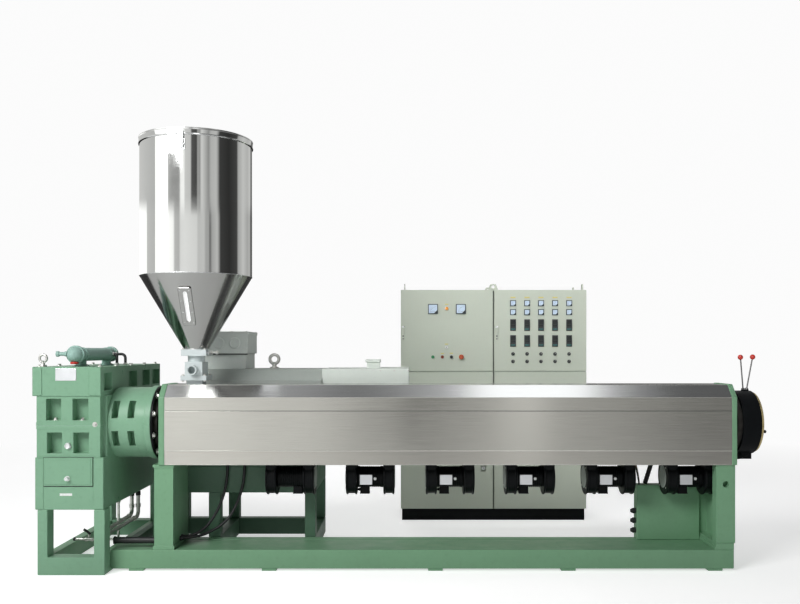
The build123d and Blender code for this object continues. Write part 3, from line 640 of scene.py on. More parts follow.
o = make("oil_cooler_shell", bm, [COOLER, ZINC, RED])
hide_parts("oil_cooler")


def bent(p0, p1, p2, r, steps=10):
    a, b, c = M(*p0), M(*p1), M(*p2)
    u, v = (b - a).normalized(), (c - b).normalized()
    s, e = b - u * r / 1000, b + v * r / 1000
    arc = []
    for i in range(steps + 1):
        t = i / steps * math.pi / 2
        arc.append(s + u * (r / 1000) * math.sin(t) + v * (r / 1000) * (1 - math.cos(t)))
    return [a, *arc, c]


bm = bmesh.new()
pipe(bm, bent((-2162, 620, 1442), (-2088, 620, 1442), (-2088, 620, 1362), 30), 10, 16, 1)
pipe(bm, bent((-2162, 560, 1442), (-2130, 560, 1442), (-2130, 560, 1362), 24), 10, 16, 1)
pipe(bm, bent((-2034, 600, 428), (-2034, 600, 262), (-2034, -7, 262), 40), 14, 20, 0)
pipe(bm, bent((-1997, 630, 428), (-1997, 630, 246), (-1997, -7, 246), 40), 14, 20, 0)
for x, y in ((-2034, 600), (-1997, 630)):
    turn(bm, M(x, y, 312), Z, [(14, 0), (19, 0), (19, 9), (17, 10), (17, 13), (19, 14), (19, 24), (14, 24)], 24, 0)
    turn(bm, M(x, y, 398), Z, [(14, 0), (18, 0), (18, 30), (14, 30)], 20, 1)
for x, z in ((-2034, 262), (-1997, 246)):
    turn(bm, M(x, 545, z), -Y, [(14, 0), (18, 0), (18, 18), (14, 18)], 24, 0)
    turn(bm, M(x, 8, z), -Y, [(14, 0), (18, 0), (18, 14), (14, 14)], 24, 0)
for x, y in ((-2088, 620), (-2130, 560)):
    turn(bm, M(x, y, 1362), Z, [(10, 0), (16, 0), (16, 14), (12, 17), (10, 17)], 6, 0)
    turn(bm, M(-2162, y, 1442), X, [(10, 0), (15, 0), (15, 12), (10, 14)], 6, 0)
o = make("oil_pipework", bm, [ZINC, RUBBER])
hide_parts("oil_pipes")

# drain line with its tap, low down behind the stand's window
bm = bmesh.new()
pipe(bm, [M(-2340, 300, 146), M(-2270, 300, 146), M(-2058, 300, 146), M(-2042, 300, 151), M(-2032, 300, 164), M(-2030, 300, 185), M(-2030, 300, 432)], 9, 14, 0)
turn(bm, M(-2030, 300, 404), Z, [(9, 0), (15, 0), (15, 22), (12, 25), (9, 25)], 6, 0)
turn(bm, M(-2345, 300, 146), X, [(0, 0), (13, 0), (13, 12), (10, 14), (9, 22), (0, 22)], 6, 1)
turn(bm, M(-2262, 300, 146), X, [(9, 0), (15, 0), (15, 12), (12, 14), (12, 40), (15, 42), (15, 54), (9, 54)], 18, 0)
turn(bm, M(-2235, 300, 152), Z, [(0, 0), (8, 0), (8, 26), (0, 26)], 16, 0)
pipe(bm, [M(-2228, 300, 180), M(-2250, 300, 200), M(-2274, 300, 214)], 9, 12, 1)
make("drain_line", bm, [ZINC, RUBBER])

# ---------------------------------------------------------------- motor
# the motor frame in the darker copy of the green: painted shade
for n in ("motor_frame_long", "motor_frame_cross", "motor_frame_posts", "motor_bed"):
    rounded(n, 4, GREEN_SHADED, 2)
rounded("main_motor", 7, GREY, 3)
rounded("motor_terminal_box", 4, GREY_BOX_LIT, 3)
rounded("motor_cooling_box", 5, PALE, 3)
bm = bmesh.new()
for y in (772 - 235, 772 + 235):
    for x in (-1490, -1410, -830, -750):
        bolt(bm, M(x, y + (-52 if y < 772 else 52), 720), Z, 26)
for x in (-1590, -1480, -1388, -1296, -1186):
    for y in (590, 954):
        screw(bm, M(x, y, 1608), Z, 13)
for x in (-200, -100, 2):
    for z in (710, 1020, 1322):
        screw(bm, M(x, 490, z), -Y, 11)
make("motor_bolts", bm, ZINC)
# shadow gap under the terminal box lid: a near-black strip as painted shade on the lid's underside
bm = bmesh.new()
box(bm, -1596, -1180, 584, 600, 1437, 1446, 1, 0)
make("terminal_box_gap", bm, GAP_SHADE)
bm = bmesh.new()
# rear air grille of the cooling box, ribs on the motor's sides
for k in range(14):
    z = 760 + k * 38
    box(bm, 5, 9.5, 540, 1000, z, z + 16, 1.5, 0)
for k in range(9):
    z = 760 + k * 46
    box(bm, -1560, -680, 468.5, 474, z, z + 14, 2, 0)
    box(bm, -1560, -680, 1070, 1075.5, z, z + 14, 2, 0)
make("motor_ribs", bm, GREY)
# dark strips behind the grille ribs: painted shade standing in for the box's shaded inside
bm = bmesh.new()
for k in range(13):
    z = 779 + k * 38
    box(bm, 4, 8.5, 545, 995, z, z + 14, 0, 0)
make("grille_slots", bm, SHADE_AND_DARK_PANEL)

# ---------------------------------------------------------------- barrel and guard
skin("barrel", BARREL)
bm = bmesh.new()
for x in (-803.0, -258.0, 287.0, 832.0, 1377.0, 1922.0):
    c = M(x - 215, 200, 977)
    prof = [(101, 0), (148, 0), (150, 2)]
    for k in range(12):
        h = 14 + k * 34
        prof += [(150, h), (143, h + 3), (143, h + 9), (150, h + 12)]
    prof += [(150, 428), (148, 430), (101, 430)]
    turn(bm, c, X, prof, 56, 0)
    for dx in (-120, 120):
        turn(bm, M(x + dx - 8, 200, 977), X, [(150, 0), (152.5, 0), (152.5, 16), (150, 16)], 56, 1)
        box(bm, x + dx - 30, x + dx + 30, 180, 220, 1120, 1150, 4, 2)
o = make("finned_heater_jackets", bm, [HEATER, ZINC, WHITE])
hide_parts("heater_jackets")

rounded("guard_top", 1.2, STEEL_TOP_LIT, 2)
o = rounded("guard_upper_panels", 1.2, STEEL, 2)
o.data.materials.append(STEEL_TOP_LIT)
# faces that face up and out take the lighter steel copy: painted light on the bevel
for f in o.data.polygons:
    if f.normal.z > 0.3 and abs(f.normal.y) > 0.3:
        f.material_index = 1
rounded("guard_middle_panels", 1.4, STEEL, 2)
rounded("guard_lower_panels", 1.2, STEEL_LOW, 2)
rounded("guard_end_plates", 4, GREEN, 3)
bm = bmesh.new()
# folded lips along the two seams and the sill, front and rear, in a brighter copy of the guard steel as painted
# highlight
for y, s in ((-10, -1), (410, 1)):
    for z, r, out in ((802, 3.0, 1.8), (708.5, 1.8, 0.0)):
        pipe(bm, [M(-1620, y + s * out, z), M(300, y + s * out, z), M(2154, y + s * out, z)], r, 10)
    pipe(bm, [M(-1620, y - s * 0.2, 1156), M(2154, y - s * 0.2, 1156)], 1.6, 10)
for y in (71, 329):
    pipe(bm, [M(-1620, y, 1236.4), M(2154, y, 1236.4)], 1.4, 10)
make("guard_folded_lips", bm, LIP)
bm = bmesh.new()
# the open joint between the upper and middle sheets, drawn as a near-black rod: painted shade in the joint
for y, s in ((-10, -1), (410, 1)):
    pipe(bm, [M(-1620, y + s * 1.0, 1066), M(300, y + s * 1.0, 1066), M(2154, y + s * 1.0, 1066)], 2.0, 10)
make("guard_upper_joint", bm, GAP_SHADE)
bm = bmesh.new()
# brown lagging and wiring looms seen under the guard by the junction box
for k in range(3):
    arc = []
    for i in range(17):
        t = i / 16
        arc.append(M(1556 + 84 * t, 262 + 96 * t, 642 + 14 * k - 150 * t ** 3 + 22 * math.sin(math.pi * t) - (12 * k) * t ** 2))
    pipe(bm, arc, 6, 10, 0 if k else 1)
make("wiring_looms", bm, [COPPER, RUBBER])

# ---------------------------------------------------------------- blowers
bm = bmesh.new()
for x in (-803.0, -258.0, 287.0, 832.0, 1377.0, 1922.0):
    for x0, out in ((x - 165, -1), (x + 90, 1)):
        c = M(x0, 200, 600)
        turn(bm, c, X, [(0, 0), (114, 0), (120, 2), (122, 6), (122, 11), (116, 14), (114, 18), (114, 57), (116, 61), (122, 64), (122, 69), (120, 73), (114, 75), (0, 75)], 56, 0)
        box(bm, x0 + 1, x0 + 74, 101, 221, 610, 856, 6, 0)
        box(bm, x0, x0 + 75, 96, 226, 690, 704, 3, 0)
        face = x0 if out < 0 else x0 + 75
        turn(bm, M(face, 200, 600), X * out, [(70, -0.5), (76, -0.5), (76, 3), (70, 4)], 44, 1)
        for r in (20, 34, 48, 62):
            turn(bm, M(face, 200, 600), X * out, [(r, -0.5), (r + 4, -0.5), (r + 4, 2.4), (r, 2.4)], 40, 1)
        for k in range(4):
            a = RAD(45 + 90 * k)
            screw(bm, M(face, 200 + 96 * math.cos(a), 600 + 96 * math.sin(a)), X * out, 11, 2)
o = make("blower_volutes", bm, [BLACK, GREY, ZINC])
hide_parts("blower_housings")
bm = bmesh.new()
for i, x in enumerate((-803.0, -258.0, 287.0, 832.0, 1377.0, 1922.0)):
    s = 1 if i == 0 else -1
    prof = [(0, 0), (66, 0), (72, 2), (73, 4), (73, 16)]
    for k in range(11):
        h = 18 + k * 13
        prof += [(73, h), (69.5, h + 2), (69.5, h + 8), (73, h + 10)]
    prof += [(73, 176), (66, 180), (0, 180)]
    turn(bm, M(x - 90, 200, 600), X, prof, 48, 0)
    xo = x + 16 if i == 0 else x - 70
    box(bm, xo, xo + 64, 168, 232, 486, 549, 5, 0)
    box(bm, xo - 2, xo + 66, 166, 234, 486, 494, 2.5, 0)
    turn(bm, M(xo + (64 if i == 0 else 0), 200, 512), X * (1 if i == 0 else -1), [(0, 0), (11, 0), (11, 8), (8, 10), (8, 20), (0, 20)], 18, 0)
    # blank name plate on a pad, and the bright drain plug beside it
    box(bm, x - 72, x + 16, 126 if i else 262, 138 if i else 274, 553, 624, 1.5, 0)
    n = -1 if i else 1
    yp = 126 if i else 274
    box(bm, x - 70, x + 14, min(yp, yp + n * 1.6), max(yp, yp + n * 1.6), 555, 622, 0.7, 1)
    for dx in (-66, 10):
        for z in (559, 618):
            screw(bm, M(x + dx, yp + n * 1.5, z), Y * n, 5, 2)
    box(bm, x + 20, x + 46, 126 if i else 262, 138 if i else 274, 582, 610, 3, 0)
    turn(bm, M(x + 34, yp, 596), Y * n, [(0, 0), (10, 0), (10, 4), (7, 7), (0, 8)], 20, 3)
o = make("finned_blower_motors", bm, [BLACK, PLATE, ZINC, WHITE])
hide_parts("blower_motors")

# ---------------------------------------------------------------- junction box and conduits
rounded("junction_box", 4, GREEN, 3)
bm = bmesh.new()
for z in (337, 269, 200):
    turn(bm, M(1608, 349, z), -X, [(0, 0), (20, 0), (20, 8), (17, 9), (17, 11), (20, 12), (20, 21), (15, 23), (15, 30), (13, 35), (8, 35), (8, 28), (0, 28)], 24, 0)
prof = [(13.5, 0)]
for k in range(22):
    h = 4 + k * 8.0
    prof += [(17, h), (17, h + 4), (14.5, h + 5), (14.5, h + 7)]
prof += [(14, 186)]
turn(bm, M(1682, 376, 525), Vector((58, 0, 182)), prof, 24, 0)
turn(bm, M(-1981, 70, 190), X, [(0, 0), (26, 0), (26, 10), (22, 12), (22, 268), (26, 270), (26, 279), (0, 279)], 30, 0)
o = make("conduits_and_glands", bm, RUBBER)
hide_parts("conduit_fittings")

# ---------------------------------------------------------------- die end
rounded("die_clamp_ring", 5, BLACK_RING, 3)
o = rounded("die_adapter", 0.8, BRASS, 2)
o.data.materials.append(BLACK_RING)
for f in o.data.polygons:
    if f.center.x > (2371.6 + 29) / 1000:
        f.material_index = 1
bm = bmesh.new()
for x0, x1, z1 in ((2310, 2292, 1422), (2334, 2376, 1424)):
    p, q = M(x0, 200, 1200), M(x1, 200, z1)
    d = (q - p)
    n = d.normalized()
    L = d.length * 1000
    turn(bm, p, n, [(0, 0), (11, 0), (11, 9), (7, 11), (4.6, 13), (4.6, L - 14), (8, L - 13), (8, L - 12), (0, L - 12)], 18, 0)
    prof = [(0, -18 + 0.5)] + [(18 * math.sin(RAD(t)), -18 * math.cos(RAD(t))) for t in range(12, 180, 12)] + [(0, 18)]
    turn(bm, q, n, prof, 28, 1)
o = make("lever_rods_and_balls", bm, [BOLT_DARK, RED])
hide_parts("clamp_levers")
bm = bmesh.new()
for i in range(6):
    a = RAD(30 + 60 * i)
    turn(bm, M(2354, 200 + 190 * math.cos(a), 977 + 190 * math.sin(a)), -X, [(0, 0), (10, 0), (10, 3), (0, 3)], 16)
for k in (-1, 1):
    turn(bm, M(2290, 200 + k * 70, 775), Y * k, [(0, 0), (30, 0), (30, 8), (26, 12), (0, 12)], 28)
turn(bm, M(2268, 200, 731), -Z, [(0, -2), (26, -2), (26, 6), (22, 9), (0, 9)], 28)
make("clamp_bolts", bm, BLACK_RING)

# ---------------------------------------------------------------- hopper
HX, HY = -1458, 200
bm = bmesh.new()
turn(bm, M(HX, HY, 0), Z, [(372, 1975), (377, 1975), (377, 2895), (377, 2905), (372, 2905)], 160, 0)
faces = [f for f in bm.faces if len(f.verts) > 4]
bmesh.ops.delete(bm, geom=faces, context="FACES_ONLY")
turn_in = [(372, 2905), (372, 1975)]
rows = []
for r, h in turn_in:
    rows.append([bm.verts.new(M(HX, HY, h) + Vector((math.cos(2 * math.pi * i / 160), math.sin(2 * math.pi * i / 160), 0)) * r / 1000) for i in range(160)])
for i in range(160):
    j = (i + 1) % 160
    bm.faces.new([rows[0][i], rows[0][j], rows[1][j], rows[1][i]])
bmesh.ops.recalc_face_normals(bm, faces=bm.faces)
o = make("hopper_cylinder_sheet", bm, MIRROR, angle=50)
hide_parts("hopper_shell")
bm = bmesh.new()
bm.from_mesh(NODES["hopper_cone"].data)
bmesh.ops.remove_doubles(bm, verts=bm.verts, dist=1e-6)
o = make("hopper_cone_sheet", bm, MIRROR_CONE_SHADED, angle=50)
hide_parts("hopper_cone")
bm = bmesh.new()
prof = [(380.4, 2905.4), (380.4, 2866.5), (381.4, 2865), (383.5, 2865.4), (385, 2867.5), (384, 2871), (382, 2875), (381.6, 2898), (382.6, 2904), (384, 2908), (383, 2911.5), (380, 2913), (374, 2912.6), (366, 2909.5), (240, 2909.2), (232, 2911.5), (120, 2911.8), (0, 2912)]
turn(bm, M(HX, HY, 0), Z, prof, 160, 0)
big = [f for f in bm.faces if len(f.verts) > 4]
bmesh.ops.delete(bm, geom=big, context="FACES_ONLY")
rows = [[bm.verts.new(M(HX, HY, 2905.4) + Vector((math.cos(2 * math.pi * i / 160), math.sin(2 * math.pi * i / 160), 0)) * 380.4 / 1000) for i in range(160)]]
bm.faces.new(rows[0][::-1])
bmesh.ops.remove_doubles(bm, verts=bm.verts, dist=1e-5)
bmesh.ops.recalc_face_normals(bm, faces=bm.faces)
box(bm, HX - 26, HX + 26, 583, 612, 2868, 2892, 2)
box(bm, HX - 26, HX + 26, 599, 614, 2863, 2880, 2)
turn(bm, M(HX - 26, 606, 2862), X, [(5, 0), (8.4, 0), (9, 0.8), (9, 51.2), (8.4, 52), (5, 52)], 28)
o = make("hopper_lid_pressing", bm, MIRROR, "lid", angle=40)
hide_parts("hopper_lid")
bm = bmesh.new()
for r, h, t in ((377, 1975, 2.2), (82.5, 1478, 2.4)):
    n = 120
    ring = [M(HX, HY, h) + Vector((math.cos(2 * math.pi * i / n), math.sin(2 * math.pi * i / n), 0)) * r / 1000 for i in range(n)]
    rows = []
    for i in range(n):
        rad = Vector((math.cos(2 * math.pi * i / n), math.sin(2 * math.pi * i / n), 0))
        rows.append([bm.verts.new(ring[i] + (rad * math.cos(b) + Z * math.sin(b)) * t / 1000) for b in [2 * math.pi * k / 8 for k in range(8)]])
    for i in range(n):
        for k in range(8):
            bm.faces.new([rows[i][k], rows[(i + 1) % n][k], rows[(i + 1) % n][(k + 1) % 8], rows[i][(k + 1) % 8]])
# the rear lap seam of the rolled sheet
box(bm, HX - 6, HX + 6, HY + 376.6, HY + 378.4, 1976, 2864, 0.4)
make("hopper_weld_beads", bm, BRIGHT)

# sight window and over-centre clasp; the window strip glows as painted light in place of its bright reflection
slope = math.atan2(377.0 - 82.0, 500.0)
zm = 1762.0
rm = 82.0 + (zm - 1475.0) * math.tan(slope)
nrm = Vector((0, -math.cos(slope), -math.sin(slope)))
up = Vector((0, -math.sin(slope), math.cos(slope)))
org = M(HX, HY - rm, zm) + nrm * 0.0003


def stadium(hw, hh, r, n=8):
    pts = []
    for cx_, cy_, a0 in ((hw - r, hh - r, 0), (-hw + r, hh - r, 90), (-hw + r, -hh + r, 180), (hw - r, -hh + r, 270)):
        for i in range(n + 1):
            a = RAD(a0 + 90 * i / n)
            pts.append((cx_ + r * math.cos(a), cy_ + r * math.sin(a)))
    return pts


bm = bmesh.new()
outer, inner = stadium(43, 142, 12), stadium(15, 113, 14.9)
loops = []
for pts, h in ((outer, 0), (outer, 10), ([(p[0] * 0.95, p[1] * 0.985) for p in outer], 12), ([(p[0] * 1.16, p[1] * 1.02) for p in inner], 12), (inner, 10), (inner, 2)):
    loops.append([bm.verts.new(org + X * p[0] / 1000 + up * p[1] / 1000 + nrm * h / 1000) for p in pts])
for a, b in zip(loops, loops[1:]):
    for i in range(len(a)):
        j = (i + 1) % len(a)
        bm.faces.new([a[i], a[j], b[j], b[i]])
bm.faces.new(loops[-1]).material_index = 1
bm.faces.new(loops[0][::-1])
for px in (-31, 31):
    for py in (-120, -40, 40, 120):
        screw(bm, org + X * px / 1000 + up * py / 1000 + nrm * 0.0118, nrm, 8, 2)
box(bm, HX - 20, HX + 20, -186, -177.4, 2764, 2838, 2, 2)
box(bm, HX - 13, HX + 13, -197, -185.4, 2776, 2888, 4, 2)
box(bm, HX - 9, HX + 9, -198.6, -194, 2784, 2846, 2, 2)
turn(bm, M(HX - 18, -190, 2800), X, [(0, 0), (5, 0), (5, 36), (0, 36)], 16, 2)
for x in (HX - 53, HX + 27.5):
    box(bm, x, x + 25.5, 577.4, 600, 2826, 2858, 2, 2)
    box(bm, x, x + 25.5, 592, 612, 2836, 2862, 2, 2)
    turn(bm, M(x, 606, 2862), X, [(0, 0), (8.4, 0), (9, 0.8), (9, 24.7), (8.4, 25.5), (0, 25.5)], 28, 2)
    for z in (2834, 2850):
        screw(bm, M(x + 12.7, 612, z - 4), Y, 7, 2)
turn(bm, M(HX - 53, 606, 2862), X, [(0, 0), (4, 0), (4, 106), (0, 106)], 20, 2)
o = make("hopper_window_and_clasp", bm, [MIRROR_CONE_SHADED, SIGHT_GLOW, BRIGHT])
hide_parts("hopper_fittings")

PALE_METAL = paint("white_cast_throat", (0.62, 0.68, 0.68), 0.34, 0.04)
rounded("feed_throat", 4, PALE_METAL, 3)
bm = bmesh.new()
for dx in (-74, 74):
    for y in (126, 274):
        bolt(bm, M(HX + dx, y, 1475), Z, 12)
        bolt(bm, M(HX + dx, y, 1297), Z, 14)
        bolt(bm, M(HX + dx, y, 1265), -Z, 14, washer=False)
make("throat_bolts", bm, ZINC)
bm = bmesh.new()
box(bm, HX - 62, HX + 99, 136, 264, 1449.5, 1457.5, 1.5, 0)
box(bm, HX + 92, HX + 100, 136, 264, 1438, 1470, 3, 0)
turn(bm, M(HX + 100, 200, 1455), X, [(0, 0), (12, 0), (12, 4), (7, 6), (7, 28), (10, 30), (13.6, 36), (14, 42), (11, 49), (5, 52), (0, 52)], 24, 1)
o = make("gate_blade_and_knob", bm, [BRIGHT, ZINC], "gate")
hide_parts("slide_gate")

# ---------------------------------------------------------------- cabinet
for n in ("cabinet_sides", "cabinet_roof", "cabinet_back", "cabinet_cross_panels"):
    rounded(n, 2.0, CABINET, 2)
rounded("cabinet_plinth", 3, BLACK, 2)
for n in ("door_upper_left", "door_upper_right", "door_lower_left", "door_lower_right"):
    rounded(n, 3.0, CABINET, 3)
# seals in the gaps between the leaves, carried by the carcass; the upright seal is a darker copy of the seal grey as
# painted shade, the level one a lighter copy as painted light
bm = bmesh.new()
box(bm, 735, 741, 1678, 1693.2, 104, 1986, 0.8, 0)
box(bm, -60, 1536, 1671, 1692.6, 1284.4, 1289.6, 0.6, 1)
make("cabinet_seals", bm, [SEAL_PAINTED_SHADE, SEAL_PAINTED_LIT])


def lock(name, x, z, body):
    bm = bmesh.new()
    box(bm, x - 13, x + 13, 1652, 1666, z - 62, z + 62, 3, 0)
    box(bm, x - 12, x + 12, 1650.5, 1654, z + 46, z + 60, 1.5, 1)
    box(bm, x - 9, x + 9, 1649, 1655, z - 56, z + 40, 3, 0)
    turn(bm, M(x, 1651, z - 26), -Y, [(0, 0), (7, 0), (7, 2.5), (4, 3), (0, 2)], 18, 2)
    turn(bm, M(x, 1653, z - 50), -Y, [(0, 0), (6, 0), (6, 4), (0, 4.5)], 16, 2)
    return make(name, bm, [CABINET, BRIGHT, BOLT_DARK], body)


lock("upper_left_lock", -42, 1618, "door_upper_left")
lock("upper_right_lock", 764, 1618, "door_upper_right")


def latch(name, x, z, body):
    bm = bmesh.new()
    box(bm, x - 21, x + 21, 1656, 1666, z - 26, z + 26, 3, 0)
    turn(bm, M(x, 1657, z), -Y, [(0, 0), (15, 0), (15, 2.5), (12, 4), (9, 4), (8, 1.5), (0, 1.5)], 28, 1)
    box(bm, x - 2.5, x + 2.5, 1652.5, 1657, z - 8, z + 8, 1, 2)
    return make(name, bm, [DARK_PL, BRIGHT, BOLT_DARK], body)


latch("lower_left_latch", 650, 455, "door_lower_left")


def meter(bm, x, z, half, out, corner):
    """A moving-coil meter: dark bezel, pale face, scale arc, needle and cover block."""
    y = 1666 - out
    box(bm, x - half, x + half, y, 1666, z - half, z + half, half * 0.10, 0)
    f = half * (0.84 if half > 40 else 0.74)
    box(bm, x - f, x + f, y - 0.7, y + 1, z - f, z + f, 0.5, 1)
    s = half * corner
    a = [M(x + f, y - 1.0, z - f), M(x + f, y - 1.0, z - f + s), M(x + f - s, y - 1.0, z - f)]
    b = [p + Y * 0.0012 for p in a]
    va, vb = [bm.verts.new(p) for p in a], [bm.verts.new(p) for p in b]
    bm.faces.new(va).material_index = 2
    bm.faces.new(vb[::-1]).material_index = 2
    for i in range(3):
        j = (i + 1) % 3
        bm.faces.new([va[j], va[i], vb[i], vb[j]]).material_index = 2
    hub = M(x + f * 0.72, y - 0.85, z - f * 0.72)
    for k in range(11):
        t = RAD(95 + k * 8)
        d = Vector((math.cos(t), 0, math.sin(t)))
        p, q = hub + d * f * 1.18 / 1000, hub + d * f * (1.36 if k % 5 else 1.44) / 1000
        w = Vector((-d.z, 0, d.x)) * half * 0.010 / 1000
        bm.faces.new([bm.verts.new(v) for v in (p - w, p + w, q + w, q - w)]).material_index = 2
    t = RAD(168)
    d = Vector((math.cos(t), 0, math.sin(t)))
    w = Vector((-d.z, 0, d.x)) * half * 0.012 / 1000
    p, q = hub + d * f * 0.3 / 1000, hub + d * f * 1.3 / 1000
    bm.faces.new([bm.verts.new(v) for v in (p - w, p + w, q + w, q - w)]).material_index = 2


bm = bmesh.new()
for x in (215, 455):
    meter(bm, x, 1825, 43, 14, 0.62)
o = make("panel_meters_left", bm, [FRAME_PL, FACE, DARK_PL], "door_upper_left")
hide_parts("left_door_meters")

bm = bmesh.new()


def pilot(bm, x, z, r, out, cap, bezel=2, dome=True):
    turn(bm, M(x, 1666, z), -Y, [(0, 0), (r * 1.0, 0), (r * 1.0, 4), (r * 0.95, 6), (r * 0.86, 6.5)], 32, bezel)
    p = [(r * 0.86, 5), (r * 0.86, out * 0.72)]
    p += [(r * 0.80, out * 0.86), (r * 0.6, out * 0.96), (r * 0.3, out), (0, out)] if dome else [(r * 0.82, out * 0.94), (r * 0.74, out), (0, out)]
    turn(bm, M(x, 1666, z), -Y, p, 32, cap)


pilot(bm, 334, 1829, 17, 22, 0)
pilot(bm, 332, 1495, 13, 16, 1, 2, False)
box(bm, 330.4, 333.6, 1648.6, 1651, 1488, 1502, 0.8, 3)
pilot(bm, 214, 1412, 14, 18, 4, 4, False)
pilot(bm, 296, 1412, 14, 18, 5, 5, False)
pilot(bm, 374, 1412, 14, 20, 3, 3, False)
box(bm, 370, 378, 1640.2, 1648, 1400, 1424, 2, 3)
turn(bm, M(458, 1666, 1412), -Y, [(0, 0), (16, 0), (16, 6), (12, 8), (11, 18), (20, 20), (21, 23), (20.5, 28), (16, 33), (8, 34), (0, 34)], 36, 6)
turn(bm, M(458, 1666, 1412), -Y, [(16, 0), (21, 0), (21, 1.4), (16, 1.6)], 36, 7)
for x, z in ((334, 1866), (296, 1442), (374, 1444), (332, 1523)):
    box(bm, x - 15, x + 15, 1665.2, 1666.4, z - 4.5, z + 4.5, 0.4, 7)
o = make("pilot_devices_left", bm, [ORANGE, WHITE, BRIGHT, DARK_PL, GREEN_BTN, BROWN_BTN, RED_BTN, YELLOW], "door_upper_left")
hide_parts("left_door_buttons")

bm = bmesh.new()
for x in (905, 1026, 1146, 1267, 1388):
    for z in (1875, 1798):
        meter(bm, x, z, 26, 10, 0.5)
    for z in (1687, 1550):
        box(bm, x - 25, x + 25, 1656, 1666, z - 50, z + 50, 3, 2)
        box(bm, x - 22, x + 22, 1654.6, 1657, z - 47, z + 47, 1.6, 2)
        box(bm, x - 18, x + 18, 1654.0, 1655, z + 8, z + 40, 0.4, 3)
        box(bm, x - 18, x + 18, 1654.0, 1655, z - 14, z + 4, 0.4, 3)
        for k in range(4):
            box(bm, x - 18 + k * 9.6, x - 11 + k * 9.6, 1653.4, 1655, z - 40, z - 30, 0.8, 4)
    box(bm, x - 22, x + 22, 1665.0, 1666.4, 1919, 1931, 0.5, 5)
o = make("panel_instruments_right", bm, [FRAME_PL, FACE, DARK_PL, SHADE_AND_DARK_PANEL, TEAL, YELLOW], "door_upper_right")
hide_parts("right_door_instruments")
bm = bmesh.new()
for x in (905, 1026, 1146, 1267, 1388):
    for z in (1438, 1373):
        turn(bm, M(x, 1666, z), -Y, [(0, 0), (14, 0), (14, 3), (12, 5), (10.5, 6), (10.5, 18), (9, 21), (0, 21)], 28, 0)
        box(bm, x - 3, x + 3, 1642.4, 1650, z - 11, z + 11, 1.6, 0)
        box(bm, x - 0.8, x + 0.8, 1642, 1643, z + 2, z + 10, 0, 1)
        turn(bm, M(x, 1666, z), -Y, [(14, 0), (15.5, 0), (15.5, 1.5), (14, 1.6)], 28, 2)
o = make("selector_knobs_right", bm, [DARK_PL, WHITE, DARK_PL], "door_upper_right")
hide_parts("right_door_knobs")

# ---------------------------------------------------------------- stage and light
floor_bm = bmesh.new()
ring = [0.0, 2, 4, 6, 8, 11, 15, 22, 40, 90]
rows = [[floor_bm.verts.new((r * math.cos(2 * math.pi * i / 48), r * math.sin(2 * math.pi * i / 48), -0.0005)) for i in range(48)] for r in ring[1:]]
hub = floor_bm.verts.new((0, 0, -0.0005))
for i in range(48):
    floor_bm.faces.new([hub, rows[0][i], rows[0][(i + 1) % 48]])
for a, b in zip(rows, rows[1:]):
    for i in range(48):
        floor_bm.faces.new([a[i], b[i], b[(i + 1) % 48], a[(i + 1) % 48]])
fme = bpy.data.meshes.new("floor")
floor_bm.to_mesh(fme)
floor_bm.free()
fme.shade_smooth()
floor = bpy.data.objects.new("floor", fme)
scene.collection.objects.link(floor)
fg = Graph("pale_floor")
fg.color(fg.ramp(fg.noise(1.2, 3), [(0.3, (0.84, 0.84, 0.84)), (0.7, (0.87, 0.87, 0.87))]))
fg.bsdf.inputs["Roughness"].default_value = 0.9
fg.bsdf.inputs["Specular IOR Level"].default_value = 0.0
vl = fg.nodes.new("ShaderNodeVectorMath")
vl.operation = "LENGTH"
fg.links.new(fg.coord.outputs["Object"], vl.inputs[0])
far = fg.remap(vl.outputs["Value"], 0.0, 1.0, 3.2, 9.0)
em = fg.nodes.new("ShaderNodeEmission")
flp = fg.nodes.new("ShaderNodeLightPath")
fxyz = fg.height()
fdx = fg.nodes.new("ShaderNodeMath")
fdx.operation = "SUBTRACT"
fdx.inputs[1].default_value = 0.03
fg.links.new(fxyz[0], fdx.inputs[0])
fdy = fg.nodes.new("ShaderNodeMath")
fdy.operation = "SUBTRACT"
fdy.inputs[0].default_value = 4.66
fg.links.new(fxyz[1], fdy.inputs[1])
fat = fg.nodes.new("ShaderNodeMath")
fat.operation = "ARCTAN2"
fg.links.new(fdx.outputs[0], fat.inputs[0])
fg.links.new(fdy.outputs[0], fat.inputs[1])
bearing = fg.remap(fat.outputs[0], 0.0, 1.0, -math.pi, math.pi)
LOW_BANDS = (
    (-180, 0.12), (-120, 0.12), (-60, 0.9), (-15.3, 1.15), (-12.5, 1.22), (-9.5, 1.05), (-7.2, 1.08), (-4.9, 0.90), (-3.4, 0.66), (-1.2, 0.60),
    (0.0, 0.26), (1.9, 0.26), (3.0, 0.48), (5.4, 0.62), (6.6, 1.20), (8.6, 1.15), (10.0, 0.66), (13.7, 0.54), (16.5, 0.36), (20, 0.25), (28, 0.20), (90, 0.16), (180, 0.12))
behind = fg.remap(fxyz[1], 0.0, 1.0, 0.3, 1.0)
glints = fg.mix(behind, fg.ramp(bearing, [((a + 180) / 360, (v, v, v)) for a, v in LOW_BANDS]), (0.06, 0.06, 0.06))
fg.links.new(fg.mix(flp.outputs["Is Glossy Ray"], (1.0, 1.0, 1.0), glints), em.inputs["Color"])
em.inputs["Strength"].default_value = 0.97
fg.bsdf.inputs["Emission Color"].default_value = (1, 1, 1, 1)
fglow = fg.remap(flp.outputs["Is Camera Ray"], 0.20, 0.56, 0.0, 1.0)
fg.links.new(fglow, fg.bsdf.inputs["Emission Strength"])
mx = fg.nodes.new("ShaderNodeMixShader")
shy = fg.nodes.new("ShaderNodeMath")
shy.operation = "MULTIPLY"
fg.links.new(behind, shy.inputs[0])
fg.links.new(flp.outputs["Is Glossy Ray"], shy.inputs[1])
